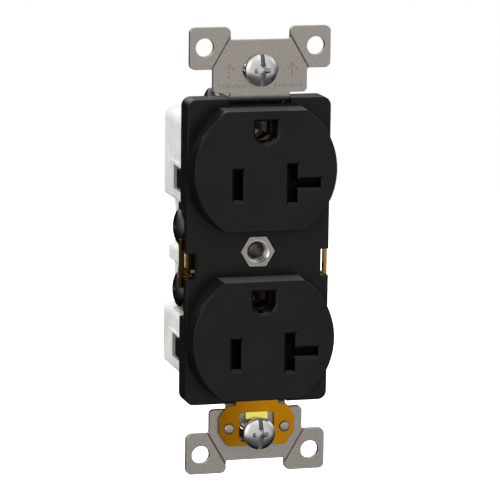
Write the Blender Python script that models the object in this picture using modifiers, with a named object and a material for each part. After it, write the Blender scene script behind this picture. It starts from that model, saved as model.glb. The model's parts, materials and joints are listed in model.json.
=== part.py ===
"""Duplex wall outlet, 20 A, tamper-resistant, with a break-off tab on each side.

World frame: +X to the right of a person facing the outlet, +Y from the face
into the wall, +Z up with the grounding holes uppermost. Inside this file all
lengths are millimetres in the strap frame, whose Y = 0 is the front surface of
the steel strap; ROOT_Y then moves the whole assembly so that the middle of its
bounding box is the world origin.
"""
import bpy
import bmesh
import math
from mathutils import Matrix, Vector

MM = 0.001
SIDES = (1, -1)         # right then left in X, or top then bottom in Z
ENDS = ("upper", "lower")

# --------------------------------------------------------- shared dimensions
FACE_Z = 38.9 / 2       # face centres above and below the middle
FACE_Y = -6.28          # front surface of the two faces
FACE_ZS = (FACE_Z, -FACE_Z)
BLADE_X = 12.7 / 2      # blade slots either side of the middle
BLADE_DZ = -3.125       # blade line from the face centre
GROUND_DZ = 8.78        # grounding hole from the face centre
BLADE_ZS = tuple(z + BLADE_DZ for z in FACE_ZS)
GROUND_ZS = tuple(z + GROUND_DZ for z in FACE_ZS)

STRAP_T = 1.4
MOUNT_Z = 83.34 / 2     # mounting screws
LEG_Y0 = 6.6            # strap's central leg, between the housings
LEG_Y1 = LEG_Y0 + STRAP_T
CLIP_RIVET_X, CLIP_RIVET_Z, CLIP_RIVET_HOLE_R = 6.55, -40.8, .8
GROUND_RIVET_DZ = 4.15  # rivets above and below each grounding hole
GROUND_RIVET_HOLE_R = .85

REAR_Y0, REAR_Y1 = 6.5, 22.9      # rear housing
LATCH_ZS = (15.9, -23.3)
TERM_ZS = (4.35, -10.15)          # side terminals
TERM_Y = 10.5
WIRE_DZ = 3.1                     # wires above and below each terminal screw
GSCREW_Y, GSCREW_Z = 10.6, 32.2   # grounding screw

ROOT_Y = -(FACE_Y + REAR_Y1) / 2  # face fronts and housing back end up equally far out

# ------------------------------------------------------------------ clean up
for ob in list(bpy.data.objects):
    bpy.data.objects.remove(ob, do_unlink=True)

parts = bpy.data.collections.new("duplex_outlet")
bpy.context.scene.collection.children.link(parts)

root = bpy.data.objects.new("outlet_root", None)
root.location = (0, ROOT_Y * MM, 0)
parts.objects.link(root)


# ------------------------------------------------------------------ outlines
def span(side, near, far):
    """Low and high ends of a stretch lying on one side of zero."""
    return sorted((side * near, side * far))


def around(middle, half):
    return middle - half, middle + half


def to_side(side, points):
    return [(side * across, other) for across, other in points]


def mirrored(half):
    """Outline closed by the mirror image of its first half across X = 0."""
    return half + [(-x, *rest) for x, *rest in reversed(half)]


def arc(x, z, radius, start, end, steps):
    angles = [math.radians(start + (end - start) * i / steps) for i in range(steps + 1)]
    return [(x + radius * math.cos(angle), z + radius * math.sin(angle)) for angle in angles]


def circle(x, z, radius, count=24):
    return arc(x, z, radius, 0, 360 - 360 / count, count - 1)


def rounded(points, steps=4):
    """Polyline whose corners (x, z, radius) are rounded; radius 0 stays sharp."""
    out = []
    for i, (x, z, radius) in enumerate(points):
        if radius <= 0:
            out.append((x, z))
            continue
        corner = Vector((x, z))
        before = (Vector(points[i - 1][:2]) - corner).normalized()
        after = (Vector(points[(i + 1) % len(points)][:2]) - corner).normalized()
        half = before.angle(after) / 2
        reach = radius / math.tan(half)
        centre = corner + (before + after).normalized() * (radius / math.sin(half))
        first = corner + before * reach - centre
        last = corner + after * reach - centre
        start = math.atan2(first.y, first.x)
        turn = math.atan2(first.x * last.y - first.y * last.x, first.dot(last))
        out += [(centre.x + radius * math.cos(start + turn * j / steps),
                 centre.y + radius * math.sin(start + turn * j / steps))
                for j in range(steps + 1)]
    return out


def rect(x0, x1, z0, z1):
    return [(x0, z0), (x1, z0), (x1, z1), (x0, z1)]


def rounded_rect(x0, x1, z0, z1, low_r, top_r=None, steps=4):
    """Rectangle with one radius for its lower corners and one for its upper."""
    if top_r is None:
        top_r = low_r
    return rounded([(x0, z0, low_r), (x1, z0, low_r), (x1, z1, top_r), (x0, z1, top_r)], steps)


def tee(x0, x1, x2, z, half_arm, half_bar):
    """T lying on its side: bar from x0 to x1, arm on to x2."""
    return [(x0, z - half_bar), (x1, z - half_bar), (x1, z - half_arm), (x2, z - half_arm),
            (x2, z + half_arm), (x1, z + half_arm), (x1, z + half_bar), (x0, z + half_bar)]


def face_outline(radius, half_height, z, steps=22):
    """Circle cut off flat above and below."""
    tilt = math.degrees(math.asin(half_height / radius))
    return (arc(0, z, radius, -tilt, tilt, steps)
            + arc(0, z, radius, 180 - tilt, 180 + tilt, steps))


# -------------------------------------------------------------------- solids
def evaluated_mesh(ob):
    bpy.context.view_layer.update()
    depsgraph = bpy.context.evaluated_depsgraph_get()
    return bpy.data.meshes.new_from_object(ob.evaluated_get(depsgraph))


def clean(mesh, distance=1e-6):
    bm = bmesh.new()
    bm.from_mesh(mesh)
    bmesh.ops.remove_doubles(bm, verts=bm.verts, dist=distance)
    bmesh.ops.recalc_face_normals(bm, faces=bm.faces)
    bm.to_mesh(mesh)
    bm.free()
    return mesh


def wrap(name, data):
    ob = bpy.data.objects.new(name, data)
    parts.objects.link(ob)
    return ob


def wrap_bmesh(name, bm):
    mesh = bpy.data.meshes.new(name)
    bmesh.ops.recalc_face_normals(bm, faces=bm.faces)
    bm.to_mesh(mesh)
    bm.free()
    return wrap(name, mesh)


def from_curve(name, curve):
    """Mesh object that takes the place of a curve."""
    ob = wrap(name, curve)
    mesh = evaluated_mesh(ob)
    bpy.data.objects.remove(ob, do_unlink=True)
    return mesh


def add_polyline(curve, points):
    spline = curve.splines.new("POLY")
    spline.points.add(len(points) - 1)
    for target, point in zip(spline.points, points):
        target.co = (*[value * MM for value in point], 1)
    return spline


PRISM_AXES = {
    "X": Matrix(((0, 0, 1), (1, 0, 0), (0, 1, 0))),     # outline is (y, z)
    "Y": Matrix(((1, 0, 0), (0, 0, -1), (0, 1, 0))),    # outline is (x, z)
    "Z": Matrix(((1, 0, 0), (0, 1, 0), (0, 0, 1))),     # outline is (x, y)
}


def prism(outline, depth, axis="Y", holes=()):
    """Flat outline carried along an axis from depth[0] to depth[1]."""
    low, high = depth
    curve = bpy.data.curves.new("outline", "CURVE")
    curve.dimensions = "2D"
    curve.fill_mode = "BOTH"
    curve.extrude = (high - low) / 2 * MM
    for points in (outline, *holes):
        add_polyline(curve, [(a, b, 0) for a, b in points]).use_cyclic_u = True
    mesh = from_curve("outline", curve)
    shift = Vector((0, 0, 0))
    shift["XYZ".index(axis)] = (low + high) / 2 * MM
    mesh.transform(Matrix.Translation(shift) @ PRISM_AXES[axis].to_4x4())
    return wrap("prism", clean(mesh))


def box(x_span, y_span, z_span, bevel=0.0):
    bm = bmesh.new()
    bmesh.ops.create_cube(bm, size=1.0)
    for vert in bm.verts:
        vert.co = Vector([(low + (unit + .5) * (high - low)) * MM
                          for unit, (low, high) in zip(vert.co, (x_span, y_span, z_span))])
    if bevel:
        bmesh.ops.bevel(bm, geom=list(bm.edges), offset=bevel * MM,
                        segments=1, profile=.5, affect="EDGES")
    return wrap_bmesh("box", bm)


def cylinder(axis, centre, radius, depth, segments=28, far_radius=None):
    """Round bar or cone along X or Y; centre holds the two other coordinates."""
    low, high = depth
    if far_radius is None:
        far_radius = radius
    bm = bmesh.new()
    bmesh.ops.create_cone(bm, cap_ends=True, segments=segments, radius1=radius * MM,
                          radius2=far_radius * MM, depth=(high - low) * MM)
    middle = (low + high) / 2
    if axis == "X":
        place = (middle, centre[0], centre[1])
        turn = Matrix.Rotation(math.pi / 2, 4, "Y")
    else:
        place = (centre[0], middle, centre[1])
        turn = Matrix.Rotation(-math.pi / 2, 4, "X")
    matrix = Matrix.Translation([value * MM for value in place]) @ turn
    bmesh.ops.transform(bm, matrix=matrix, verts=bm.verts)
    return wrap_bmesh("cylinder", bm)


def loft(outline_a, y_a, outline_b, y_b):
    """Solid between two outlines of equal length, in the XZ plane."""
    bm = bmesh.new()
    ring_a = [bm.verts.new((x * MM, y_a * MM, z * MM)) for x, z in outline_a]
    ring_b = [bm.verts.new((x * MM, y_b * MM, z * MM)) for x, z in outline_b]
    bm.faces.new(ring_a)
    bm.faces.new(ring_b)
    for i in range(len(ring_a)):
        j = (i + 1) % len(ring_a)
        bm.faces.new((ring_a[i], ring_a[j], ring_b[j], ring_b[i]))
    return wrap_bmesh("loft", bm)


TURNED_AXES = {
    "-X": Matrix.Rotation(-math.pi / 2, 4, "Y"),
    "+X": Matrix.Rotation(math.pi / 2, 4, "Y"),
    "-Y": Matrix.Rotation(math.pi / 2, 4, "X"),
}


def turned(profile, steps, axis, origin):
    """Profile (radius, height) turned about a line; heights rise along axis from origin."""
    mesh = bpy.data.meshes.new("turned")
    bm = bmesh.new()
    verts = [bm.verts.new((radius * MM, 0, height * MM)) for radius, height in profile]
    for pair in zip(verts, verts[1:]):
        bm.edges.new(pair)
    bm.to_mesh(mesh)
    bm.free()
    ob = wrap("turned", mesh)
    modifier = ob.modifiers.new("turn", "SCREW")
    modifier.angle = 2 * math.pi
    modifier.steps = steps
    modifier.render_steps = steps
    modifier.use_merge_vertices = True
    modifier.merge_threshold = 1e-6
    solid = evaluated_mesh(ob)
    ob.modifiers.clear()
    ob.data = clean(solid)
    bpy.data.meshes.remove(mesh)
    shift = Matrix.Translation([value * MM for value in origin])
    ob.data.transform(shift @ TURNED_AXES[axis])
    return ob


def sheet(path, thickness, x_span):
    """Bent sheet: centre line of (y, z, bend radius) with sharp ends, swept along X."""
    points = [Vector(point) for point in rounded(path, 6)]
    left, right = [], []
    for i, point in enumerate(points):
        if i == 0:
            along = points[1] - point
        elif i == len(points) - 1:
            along = point - points[-2]
        else:
            along = (points[i + 1] - point).normalized() + (point - points[i - 1]).normalized()
        along.normalize()
        offset = Vector((-along.y, along.x)) * thickness / 2
        left.append(tuple(point + offset))
        right.append(tuple(point - offset))
    return prism(left + right[::-1], x_span, "X")


COIL_R, WIRE_R = .85, .16
COIL_TURNS, COIL_STEPS = 5, 9     # steps are per turn


def coil(axis, centre, low, high):
    """Spring of even pitch along X or Z; centre holds the two other coordinates."""
    curve = bpy.data.curves.new("coil", "CURVE")
    curve.dimensions = "3D"
    curve.bevel_depth = WIRE_R * MM
    curve.bevel_resolution = 0
    curve.use_fill_caps = True
    count = COIL_TURNS * COIL_STEPS
    points = []
    for i in range(count + 1):
        angle = 2 * math.pi * COIL_TURNS * i / count
        along = low + WIRE_R + (high - low - 2 * WIRE_R) * i / count
        first = centre[0] + COIL_R * math.cos(angle)
        second = centre[1] + COIL_R * math.sin(angle)
        points.append((along, first, second) if axis == "X" else (first, second, along))
    add_polyline(curve, points)
    return wrap("coil", clean(from_curve("coil", curve)))


def boolean(ob, tool, operation):
    modifier = ob.modifiers.new("shape", "BOOLEAN")
    modifier.operation = operation
    modifier.solver = "EXACT"
    modifier.object = tool
    mesh = evaluated_mesh(ob)
    ob.modifiers.clear()
    old = ob.data
    ob.data = clean(mesh, 2e-7)
    bpy.data.meshes.remove(old)
    bpy.data.objects.remove(tool, do_unlink=True)


def add(ob, *tools):
    for tool in tools:
        boolean(ob, tool, "UNION")


def cut(ob, *tools):
    for tool in tools:
        boolean(ob, tool, "DIFFERENCE")


# ----------------------------------------------------------------- materials
# base colour, roughness, metallic
LOOKS = {
    "black_plastic": ((.016, .016, .017), .42, 0.0),
    "white_plastic": ((.70, .71, .68), .45, 0.0),
    "dark_plastic": ((.03, .03, .032), .5, 0.0),
    "plated_steel": ((.42, .39, .37), .38, 1.0),
    "bright_steel": ((.62, .62, .61), .22, 1.0),
    "dark_steel": ((.10, .10, .095), .35, 1.0),
    "brass": ((.55, .36, .10), .32, 1.0),
    "amber_brass": ((.60, .30, .03), .30, 1.0),
    "fibre": ((.25, .17, .09), .8, 0.0),
    "bronze": ((.50, .48, .45), .35, 1.0),
}
SHARP_ANGLE = math.radians(40)


def material(name, look):
    colour, roughness, metallic = LOOKS[look]
    mat = bpy.data.materials.new(name)
    mat.use_nodes = True
    shader = mat.node_tree.nodes["Principled BSDF"]
    shader.inputs["Base Color"].default_value = (*colour, 1)
    shader.inputs["Roughness"].default_value = roughness
    shader.inputs["Metallic"].default_value = metallic
    mat.diffuse_color = (*colour, 1)
    return mat


def finish(ob, name, look, origin=(0, 0, 0)):
    """Name a piece, give it its own material and put its origin in place."""
    ob.name = name
    ob.data.name = name
    ob.data.transform(Matrix.Translation([-value * MM for value in origin]))
    ob.location = [value * MM for value in origin]
    ob.parent = root
    ob.data.materials.clear()
    ob.data.materials.append(material(f"{name}_{look}", look))
    ob.data.shade_smooth()
    ob.data.set_sharp_from_angle(angle=SHARP_ANGLE)


# ------------------------------------------------------- front housing, black
BODY_X, BODY_Z, BODY_R = 16.75, 35.15, 2.0   # half sizes and corner radius
BODY_D = 6.2                      # depth of the side wall
BODY_EDGE = .35                   # softening of the front edge
PLATE_T = 2.2                     # thickness of the front plate
BODY_CUT = (-1, 9)                # Y span of cuts right through the housing
FACE_BASE = (16.95, 13.86)        # face radius and half height at the plate
FACE_R, FACE_H = 16.60, 13.74     # the same near the front edge
FACE_EDGE_D = .35                 # depth of the rounded front edge
# shrink and depth at the back, then at the front, of each edge section;
# the sections overlap by .01 so that they join
FACE_EDGE = ((0, .36, .1, .1), (.1, .11, .35, 0))
LATCH_BARB = [(15.65, 9.7), (15.65, 8.9), (16.0, 8.3), (16.3, 8.3), (16.3, 9.7)]   # x, y
LATCH_HALF = 2.1


def soften_front_edge(ob):
    bm = bmesh.new()
    bm.from_mesh(ob.data)
    ring = [edge for edge in bm.edges
            if all(abs(vert.co.y) < 1e-7 for vert in edge.verts) and len(edge.link_faces) == 2
            and abs(edge.link_faces[0].normal.dot(edge.link_faces[1].normal)) < .5]
    bmesh.ops.bevel(bm, geom=ring, offset=BODY_EDGE * MM, segments=2, profile=.5,
                    affect="EDGES")
    bm.to_mesh(ob.data)
    bm.free()


def raised_face(z):
    face = loft(face_outline(*FACE_BASE, z), 1.0,
                face_outline(FACE_R, FACE_H, z), FACE_Y + FACE_EDGE_D)
    for back, back_d, front, front_d in FACE_EDGE:
        add(face, loft(face_outline(FACE_R - back, FACE_H - back, z), FACE_Y + back_d,
                       face_outline(FACE_R - front, FACE_H - front, z), FACE_Y + front_d))
    return face


def hot_slot(z, grow):
    return rect(*around(-BLADE_X, 1.1 + grow), *around(z, 3.5 + grow))


def neutral_slot(z, grow):
    return tee(BLADE_X - 1.1 - grow, BLADE_X + 1.1 + grow, 12.9 + grow, z, 1.1 + grow, 4.4 + grow)


def ground_hole(z, grow):
    """Flat on top and round below."""
    radius = 2.7 + grow
    top = z + 2.65 + grow
    return [(radius, top), (-radius, top)] + arc(0, z - .02, radius, 180, 360, 14)


def cut_opening(body, outline, z, chamfer):
    """Opening through a face with a chamfered mouth."""
    hole = outline(z, 0)
    cut(body, prism(hole, (FACE_Y - 1, FACE_Y + 4)),
        loft(hole, FACE_Y + chamfer, outline(z, chamfer), FACE_Y - .0001))


def build_front():
    body = prism(rounded_rect(-BODY_X, BODY_X, -BODY_Z, BODY_Z, BODY_R, steps=6), (0, BODY_D))
    soften_front_edge(body)
    for z in FACE_ZS:
        add(body, raised_face(z))
    # hollow behind the plate
    cut(body, prism(rounded_rect(-15.1, 15.1, -33.45, 33.45, 1.6), (PLATE_T, 9)))
    # boss that carries the hexagonal insert
    add(body, cylinder("Y", (0, 0), 6.2, (1.6, 6.0), 32))
    cut(body, prism(circle(0, 0, 4.215, 6), (-3, 9)))
    for face_z, blade_z, ground_z in zip(FACE_ZS, BLADE_ZS, GROUND_ZS):
        cut(body, prism(face_outline(14.9, 12.0, face_z, 16), (FACE_Y + 2.2, 3.0)))
        cut_opening(body, hot_slot, blade_z, .52)
        cut_opening(body, neutral_slot, blade_z, .52)
        cut_opening(body, ground_hole, ground_z, .42)
    for side in SIDES:
        # notch for the strap's neck, top or bottom
        cut(body, box((-7.3, 7.3), BODY_CUT, span(side, 33.8, 40)))
        # finger notch beside the break-off tab, then relief for screw heads
        cut(body, box(span(side, 14.66, 20), BODY_CUT, (-6.05, .1)))
        cut(body, box(span(side, 14.5, 20), (2.4, 9), (-15.3, 9.8)))
        # barbed latches
        for z in LATCH_ZS:
            latch_span = around(z, LATCH_HALF)
            add(body, box(span(side, 15.95, BODY_X), (4.5, 9.7), latch_span),
                prism(to_side(side, LATCH_BARB), latch_span, "Z"))
    finish(body, "front_housing", "black_plastic")


build_front()


# ------------------------------------------------------ steel mounting strap
EAR_X, EAR_Z = 16.39, 51.38       # outer corner of an ear
EAR_IN, EAR_LOW = 6.95, 41.9      # its inner and lower edges
EAR_HOLE = (12.94, 46.88, 2.1)    # x, z, radius
PLATE_X, PLATE_TOP, PLATE_LOW = 10.95, 48.45, 36.45
NECK_X = 7.0
NECK_BEND_R = .95
SHELF_Z = 34.95                   # middle of the bent-back neck
LEG_X, LEG_END_Z = 3.2, 33.75
LEG_PADS = ((GROUND_ZS[1], 5.3), (0, 5.0), (GROUND_ZS[0], 5.3))   # z, radius
LEG_HOLES = ((GROUND_ZS[0], 3.0), (GROUND_ZS[1], 3.0), (0, 3.15))   # z, radius
# right half of the upper plate and ear: x, z, corner radius
STRAP_HALF = [
    (NECK_X, PLATE_LOW - .35, 0), (NECK_X + .03, PLATE_LOW + .01, 0), (PLATE_X, PLATE_LOW, 1.0),
    (PLATE_X, EAR_LOW, .5), (EAR_X, EAR_LOW, 1.3), (EAR_X, EAR_Z, 1.3), (EAR_IN, EAR_Z, 1.3),
    (EAR_IN, PLATE_TOP, .4),
]
SCORE_ENDS = ((6.7, 49.9), (11.7, 41.2))     # x, z
SCORE_HALF, SCORE_D = .22, .4
# grounding screw tab: y, z, corner radius
GROUND_TAB = [(6.9, 35.5, 0), (15.0, 35.5, 0), (15.0, 28.4, 1.5), (6.9, 28.4, 1.0)]


def ground_rivet_holes(z):
    return [circle(0, z + side * GROUND_RIVET_DZ, GROUND_RIVET_HOLE_R, 14) for side in SIDES]


def strap_end(side):
    """Plate and ears at the top (1) or bottom (-1)."""
    outline = [(x, side * z) for x, z in rounded(mirrored(STRAP_HALF))]
    ear_x, ear_z, ear_r = EAR_HOLE
    holes = [circle(ear_side * ear_x, side * ear_z, ear_r) for ear_side in SIDES]
    z = side * MOUNT_Z
    holes.append(arc(2.1, z, 2.05, -90, 90, 8) + arc(-2.1, z, 2.05, 90, 270, 8))
    return prism(outline, (0, STRAP_T), "Y", holes)


def strap_neck(side):
    """Neck bent back from the plate and then along the leg."""
    front_y, back_y = STRAP_T / 2, LEG_Y0 + STRAP_T / 2
    path = [(front_y, side * (PLATE_LOW + .57), 0), (front_y, side * SHELF_Z, NECK_BEND_R),
            (back_y, side * SHELF_Z, NECK_BEND_R), (back_y, side * 33.4, 0)]
    return sheet(path, STRAP_T - .02, around(0, NECK_X - .02))


def strap_leg():
    """Central leg with pads round its openings."""
    edge = [(LEG_X, -LEG_END_Z)]
    for z, radius in LEG_PADS:
        tilt = math.degrees(math.acos(LEG_X / radius))
        edge += arc(0, z, radius, -tilt, tilt, 12)
    edge.append((LEG_X, LEG_END_Z))
    holes = [circle(0, z, radius) for z, radius in LEG_HOLES]
    for z in GROUND_ZS:
        holes += ground_rivet_holes(z)
    return prism(mirrored(edge), (LEG_Y0, LEG_Y1), "Y", holes)


def cut_scores(strap):
    """Score lines that let the ears snap off."""
    start, end = (Vector(point) for point in SCORE_ENDS)
    along = (end - start).normalized()
    offset = Vector((-along.y, along.x)) * SCORE_HALF
    quad = [start + offset, end + offset, end - offset, start - offset]
    for x_side in SIDES:
        for z_side in SIDES:
            cut(strap, prism([(x_side * x, z_side * z) for x, z in quad], (-1, SCORE_D)))


def build_strap():
    strap = strap_end(1)
    add(strap, strap_end(-1))
    for side in SIDES:
        add(strap, strap_neck(side))
    add(strap, strap_leg())
    # tab for the grounding screw, and the shelf that joins it to the neck
    add(strap, prism(rounded(GROUND_TAB), (-7.02, -5.6), "X",
                     [circle(GSCREW_Y, GSCREW_Z, 2.15)]),
        box((-6.9, -3.4), (7.1, 14.8), around(SHELF_Z, .6)))
    for side in SIDES:
        cut(strap, cylinder("Y", (side * CLIP_RIVET_X, CLIP_RIVET_Z), CLIP_RIVET_HOLE_R,
                            (-1, 3), 16))
    cut_scores(strap)
    finish(strap, "mounting_strap", "plated_steel")


build_strap()


# -------------------------------------------------------- rear housing, white
# half width, low z, high z, lower and upper corner radii, corner steps, front y
REAR_BLOCKS = (
    (13.85, -27, 29, 1.0, 1.0, 3, REAR_Y0),           # core beside the terminals
    (16.4, 10.4, 30.9, .4, 2.75, 5, REAR_Y0),         # upper block
    (16.4, -29.5, -15.3, 1.2, 1.9, 4, REAR_Y0),       # lower block
    (15.25, -5.0, -1.3, .3, .9, 3, 7.7),              # barrier between the terminals
)
REAR_PAD_ZS = (15.35, -24.2)      # frames round the latch windows
REAR_PAD_HALF, REAR_PAD_R = 4.15, 2.2
REAR_CUT_Y = 5                    # cuts from the front start here, clear of the housing
SEAT_Y = LEG_Y1 + .35             # floor of the channel for the strap's leg
SEAT = (REAR_CUT_Y, SEAT_Y)
CHAMFER = [(15.7, 23.4), (16.9, 23.4), (16.9, 22.2)]  # back edge of each side: x, y


def add_latch_frames(rear, side):
    for latch_z, pad_z in zip(LATCH_ZS, REAR_PAD_ZS):
        low, high = around(pad_z, REAR_PAD_HALF)
        outline = [(6.5, low, 0), (17.6, low, REAR_PAD_R), (17.6, high, REAR_PAD_R),
                   (6.5, high, 0)]
        add(rear, prism(rounded(outline, 5), span(side, 16.0, 16.75), "X"))
        cut(rear, box(span(side, 15.35, 18), (5, 12.6), around(latch_z, 2.75)))


def cut_contact_chambers(rear):
    for blade_z, ground_z, ground_top in zip(BLADE_ZS, GROUND_ZS, (8, 5.5)):
        blade_y, blade_span = (REAR_CUT_Y, 18.0), around(blade_z, 3.75)
        cut(rear, box((-9.9, -4.15), blade_y, blade_span),
            box((4.15, 13.0), blade_y, blade_span),
            box((-3.9, 3.9), (REAR_CUT_Y, 17.2), (ground_z - 5.5, ground_z + ground_top)))
        cut(rear, cylinder("Y", (0, ground_z), 5.75, SEAT))


def cut_terminals(rear, side):
    """Recess for the bus flanges, then a pocket and wire holes per terminal."""
    recess_y = (REAR_CUT_Y, 7.75)
    cut(rear, box(span(side, 7.0, 17.5), recess_y, (-15.9, 10.1)),
        box(span(side, 7.0, 10.1), recess_y, (-26.4, 20.1)))
    for z in TERM_ZS:
        cut(rear, box(span(side, 9.7, 17.5), (6, 16.4), around(z, 5.6)))
        cut(rear, cylinder("X", (TERM_Y, z), 2.4, span(side, 8.6, 12), 20))
        for wire in SIDES:
            cut(rear, cylinder("Y", (side * 12.35, z + wire * WIRE_DZ), 1.25, (15, 24), 16))


def build_rear():
    rear, *blocks = [
        prism(rounded_rect(-half, half, low, high, low_r, top_r, steps), (front, REAR_Y1))
        for half, low, high, low_r, top_r, steps, front in REAR_BLOCKS]
    add(rear, *blocks)
    # tower behind the upper grounding hole
    add(rear, box((-4.95, 4.95), (REAR_Y0, 18.6), (25, 34.0)))
    for side in SIDES:
        cut(rear, prism(to_side(side, CHAMFER), (-40, 40), "Z"))
    for side in SIDES:
        add_latch_frames(rear, side)
    cut_contact_chambers(rear)
    # channel for the strap's leg, seat for the insert
    cut(rear, box((-3.55, 3.55), SEAT, (-40, 40)), cylinder("Y", (0, 0), 5.45, SEAT),
        cylinder("Y", (0, 0), 3.4, (REAR_CUT_Y, 10.4)),
        cylinder("Y", (0, 0), 2.2, (9, 16.0), 20))
    for side in SIDES:
        cut_terminals(rear, side)
    # pocket for the grounding screw, strip-length gauge on the back
    cut(rear, box((-12.6, -5.3), (REAR_CUT_Y, 15.6), (27.6, 34)),
        box((-7.5, 7.5), (REAR_Y1 - .5, REAR_Y1 + 1), (-3.9, -2.3)))
    # grounding screw shank, and the strap's upper neck
    cut(rear, cylinder("X", (GSCREW_Y, GSCREW_Z), 2.4, (-6, -3.5), 20),
        box((-7.4, 7.4), SEAT, (33.1, 36)))
    finish(rear, "rear_housing", "white_plastic")


build_rear()


# ---------------------------------------------------------- hexagonal insert
def build_insert():
    insert = prism(circle(0, 0, 4.04, 6), (0, 6.3))
    add(insert, cylinder("Y", (0, 0), 2.8, (5.0, 9.4)))
    # bore and countersink
    cut(insert, cylinder("Y", (0, 0), 1.5, (-1, 12), 24),
        cylinder("Y", (0, 0), 2.75, (-.15, 1.15), far_radius=1.45))
    finish(insert, "cover_screw_insert", "plated_steel")


build_insert()


# ---------------------------------------------- self-grounding clip and rivets
# left half of the clip: x, z, corner radius
CLIP_HALF = [(-4.99, -34.5, 0), (-4.99, -35.38, .2), (-7.1, -35.6, .5), (-8.9, -38.25, .4),
             (-8.9, -41.9, .4), (-6.9, -44.95, .6)]
# radius, height
CLIP_RIVET = [(0, .46), (.8, .45), (1.05, .38), (1.15, .22), (1.15, 0), (.65, 0), (.65, -2.35),
              (1.1, -2.35), (1.05, -2.75), (.6, -2.95), (0, -2.95)]


def build_clip():
    window = rounded_rect(-4.1, 4.1, -43.9, -37.15, 1.2)
    clip = prism(rounded(mirrored(CLIP_HALF), 3), (-.85, -.3), "Y", [window])
    # sprung finger that bears on the screw
    add(clip, prism(rounded_rect(-2.6, 2.6, -38.4, -36.6, .3, 0, steps=3), (-.8, -.35)))
    for side in SIDES:
        cut(clip, cylinder("Y", (side * CLIP_RIVET_X, CLIP_RIVET_Z), CLIP_RIVET_HOLE_R,
                           (-2, 1), 16))
    finish(clip, "grounding_clip", "amber_brass")


def build_clip_rivet(side, where):
    x = side * CLIP_RIVET_X
    rivet = turned(CLIP_RIVET, 14, "-Y", (x, -.95, CLIP_RIVET_Z))
    finish(rivet, f"clip_rivet_{where}", "plated_steel", (x, 0, CLIP_RIVET_Z))


build_clip()
build_clip_rivet(-1, "left")
build_clip_rivet(1, "right")


# ------------------------------------------------------------- contact buses
# z spans of the terminal plate and the arm, flange z near the middle and far
# from it, and z from the blade line to the flange's end
BUS_ENDS = (
    ((-.9, 9.6), (-.35, 1.9), -4.9, 9.5, 3.1),
    ((-15.4, -5.7), (-7.3, -5.75), -5.75, -15.3, -3.1),
)
# forked blade contact: x, y
FORK = [(8.2, 6.65), (8.2, 7.6), (7.95, 8.6), (7.95, 17.2), (4.75, 17.2), (4.75, 8.6), (4.4, 7.6),
        (5.0, 7.45), (5.45, 8.5), (5.45, 16.5), (7.25, 16.5), (7.25, 8.6), (7.6, 7.3), (7.6, 6.65)]


def add_sideways_contact(bus, z):
    """Jaws on the neutral side for a blade turned on its side."""
    add(bus, box((7.5, 12.5), (16.55, 17.15), around(z, 2.0)))
    cut(bus, box((6.2, 13), (5, 16.45), around(z, 1.1)))
    for side in SIDES:
        add(bus, box((8.6, 12.35), (8.2, 17.0), sorted((z + side * 1.15, z + side * 1.8))))


def build_bus(side, name):
    # break-off tab
    bus = box(span(side, 16.55, 17.35), (3.3, 5.0), (-8.4, 2.8), .2)
    for term_z, blade_z, end in zip(TERM_ZS, BLADE_ZS, BUS_ENDS):
        plate, arm, near, far, reach = end
        # arm in from the tab, then back to the terminal plate
        add(bus, box(span(side, 14.1, 17.3), (3.4, 4.2), arm),
            box(span(side, 14.12, 14.78), (3.45, 7.3), (arm[0] + .04, arm[1] - .04)))
        add(bus, prism(rounded_rect(7.15, 15.5, *plate, .6, steps=2), span(side, 14.05, 14.85),
                       "X", [circle(TERM_Y, term_z, 2.2)]))
        tip = blade_z + reach
        flange = [(14.8, near), (14.8, far), (9.9, far), (9.9, tip), (7.35, tip), (7.35, near)]
        add(bus, prism(to_side(side, flange), (6.6, 7.4)))
        add(bus, prism(to_side(side, FORK), around(blade_z, 3.0), "Z"))
        if side > 0:
            add_sideways_contact(bus, blade_z)
    finish(bus, name, "brass")


build_bus(-1, "hot_contact_bus")
build_bus(1, "neutral_contact_bus")


# -------------------------------------------------------- grounding contacts
# right leaf: x, y
GROUND_LEAF = [(3.4, 8.4), (3.4, 9.6), (2.85, 13.9), (2.9, 14.6), (3.45, 16.3), (2.95, 16.45),
               (2.35, 14.8), (2.3, 13.8), (2.84, 9.5), (2.84, 8.4)]
# radius, height
GROUND_RIVET = [(0, .33), (.6, .31), (1.0, .2), (1.2, 0), (.7, 0), (.7, -2.42), (1.15, -2.42),
                (1.0, -2.65), (.6, -2.8), (0, -2.8)]
GROUND_RIVET_Y = 6.56


def build_ground(z, where):
    contact = prism(rounded_rect(-3.5, 3.5, z - 5.15, z + 5.15, .8, steps=3), (8.15, 8.9), "Y",
                    [circle(0, z, 2.9)] + ground_rivet_holes(z))
    for side in SIDES:
        add(contact, prism(to_side(side, GROUND_LEAF), around(z, 1.9), "Z"))
    finish(contact, f"ground_contact_{where}", "bronze", (0, 8.5, z))
    for side, tag in zip(SIDES, "ab"):
        origin = (0, GROUND_RIVET_Y, z + side * GROUND_RIVET_DZ)
        rivet = turned(GROUND_RIVET, 12, "-Y", origin)
        finish(rivet, f"ground_rivet_{where}_{tag}", "plated_steel", origin)


for z, where in zip(GROUND_ZS, ENDS):
    build_ground(z, where)


# -------------------------------------------------------------------- screws
HEAD_R, SHANK_R = 4.2, 1.95
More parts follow.
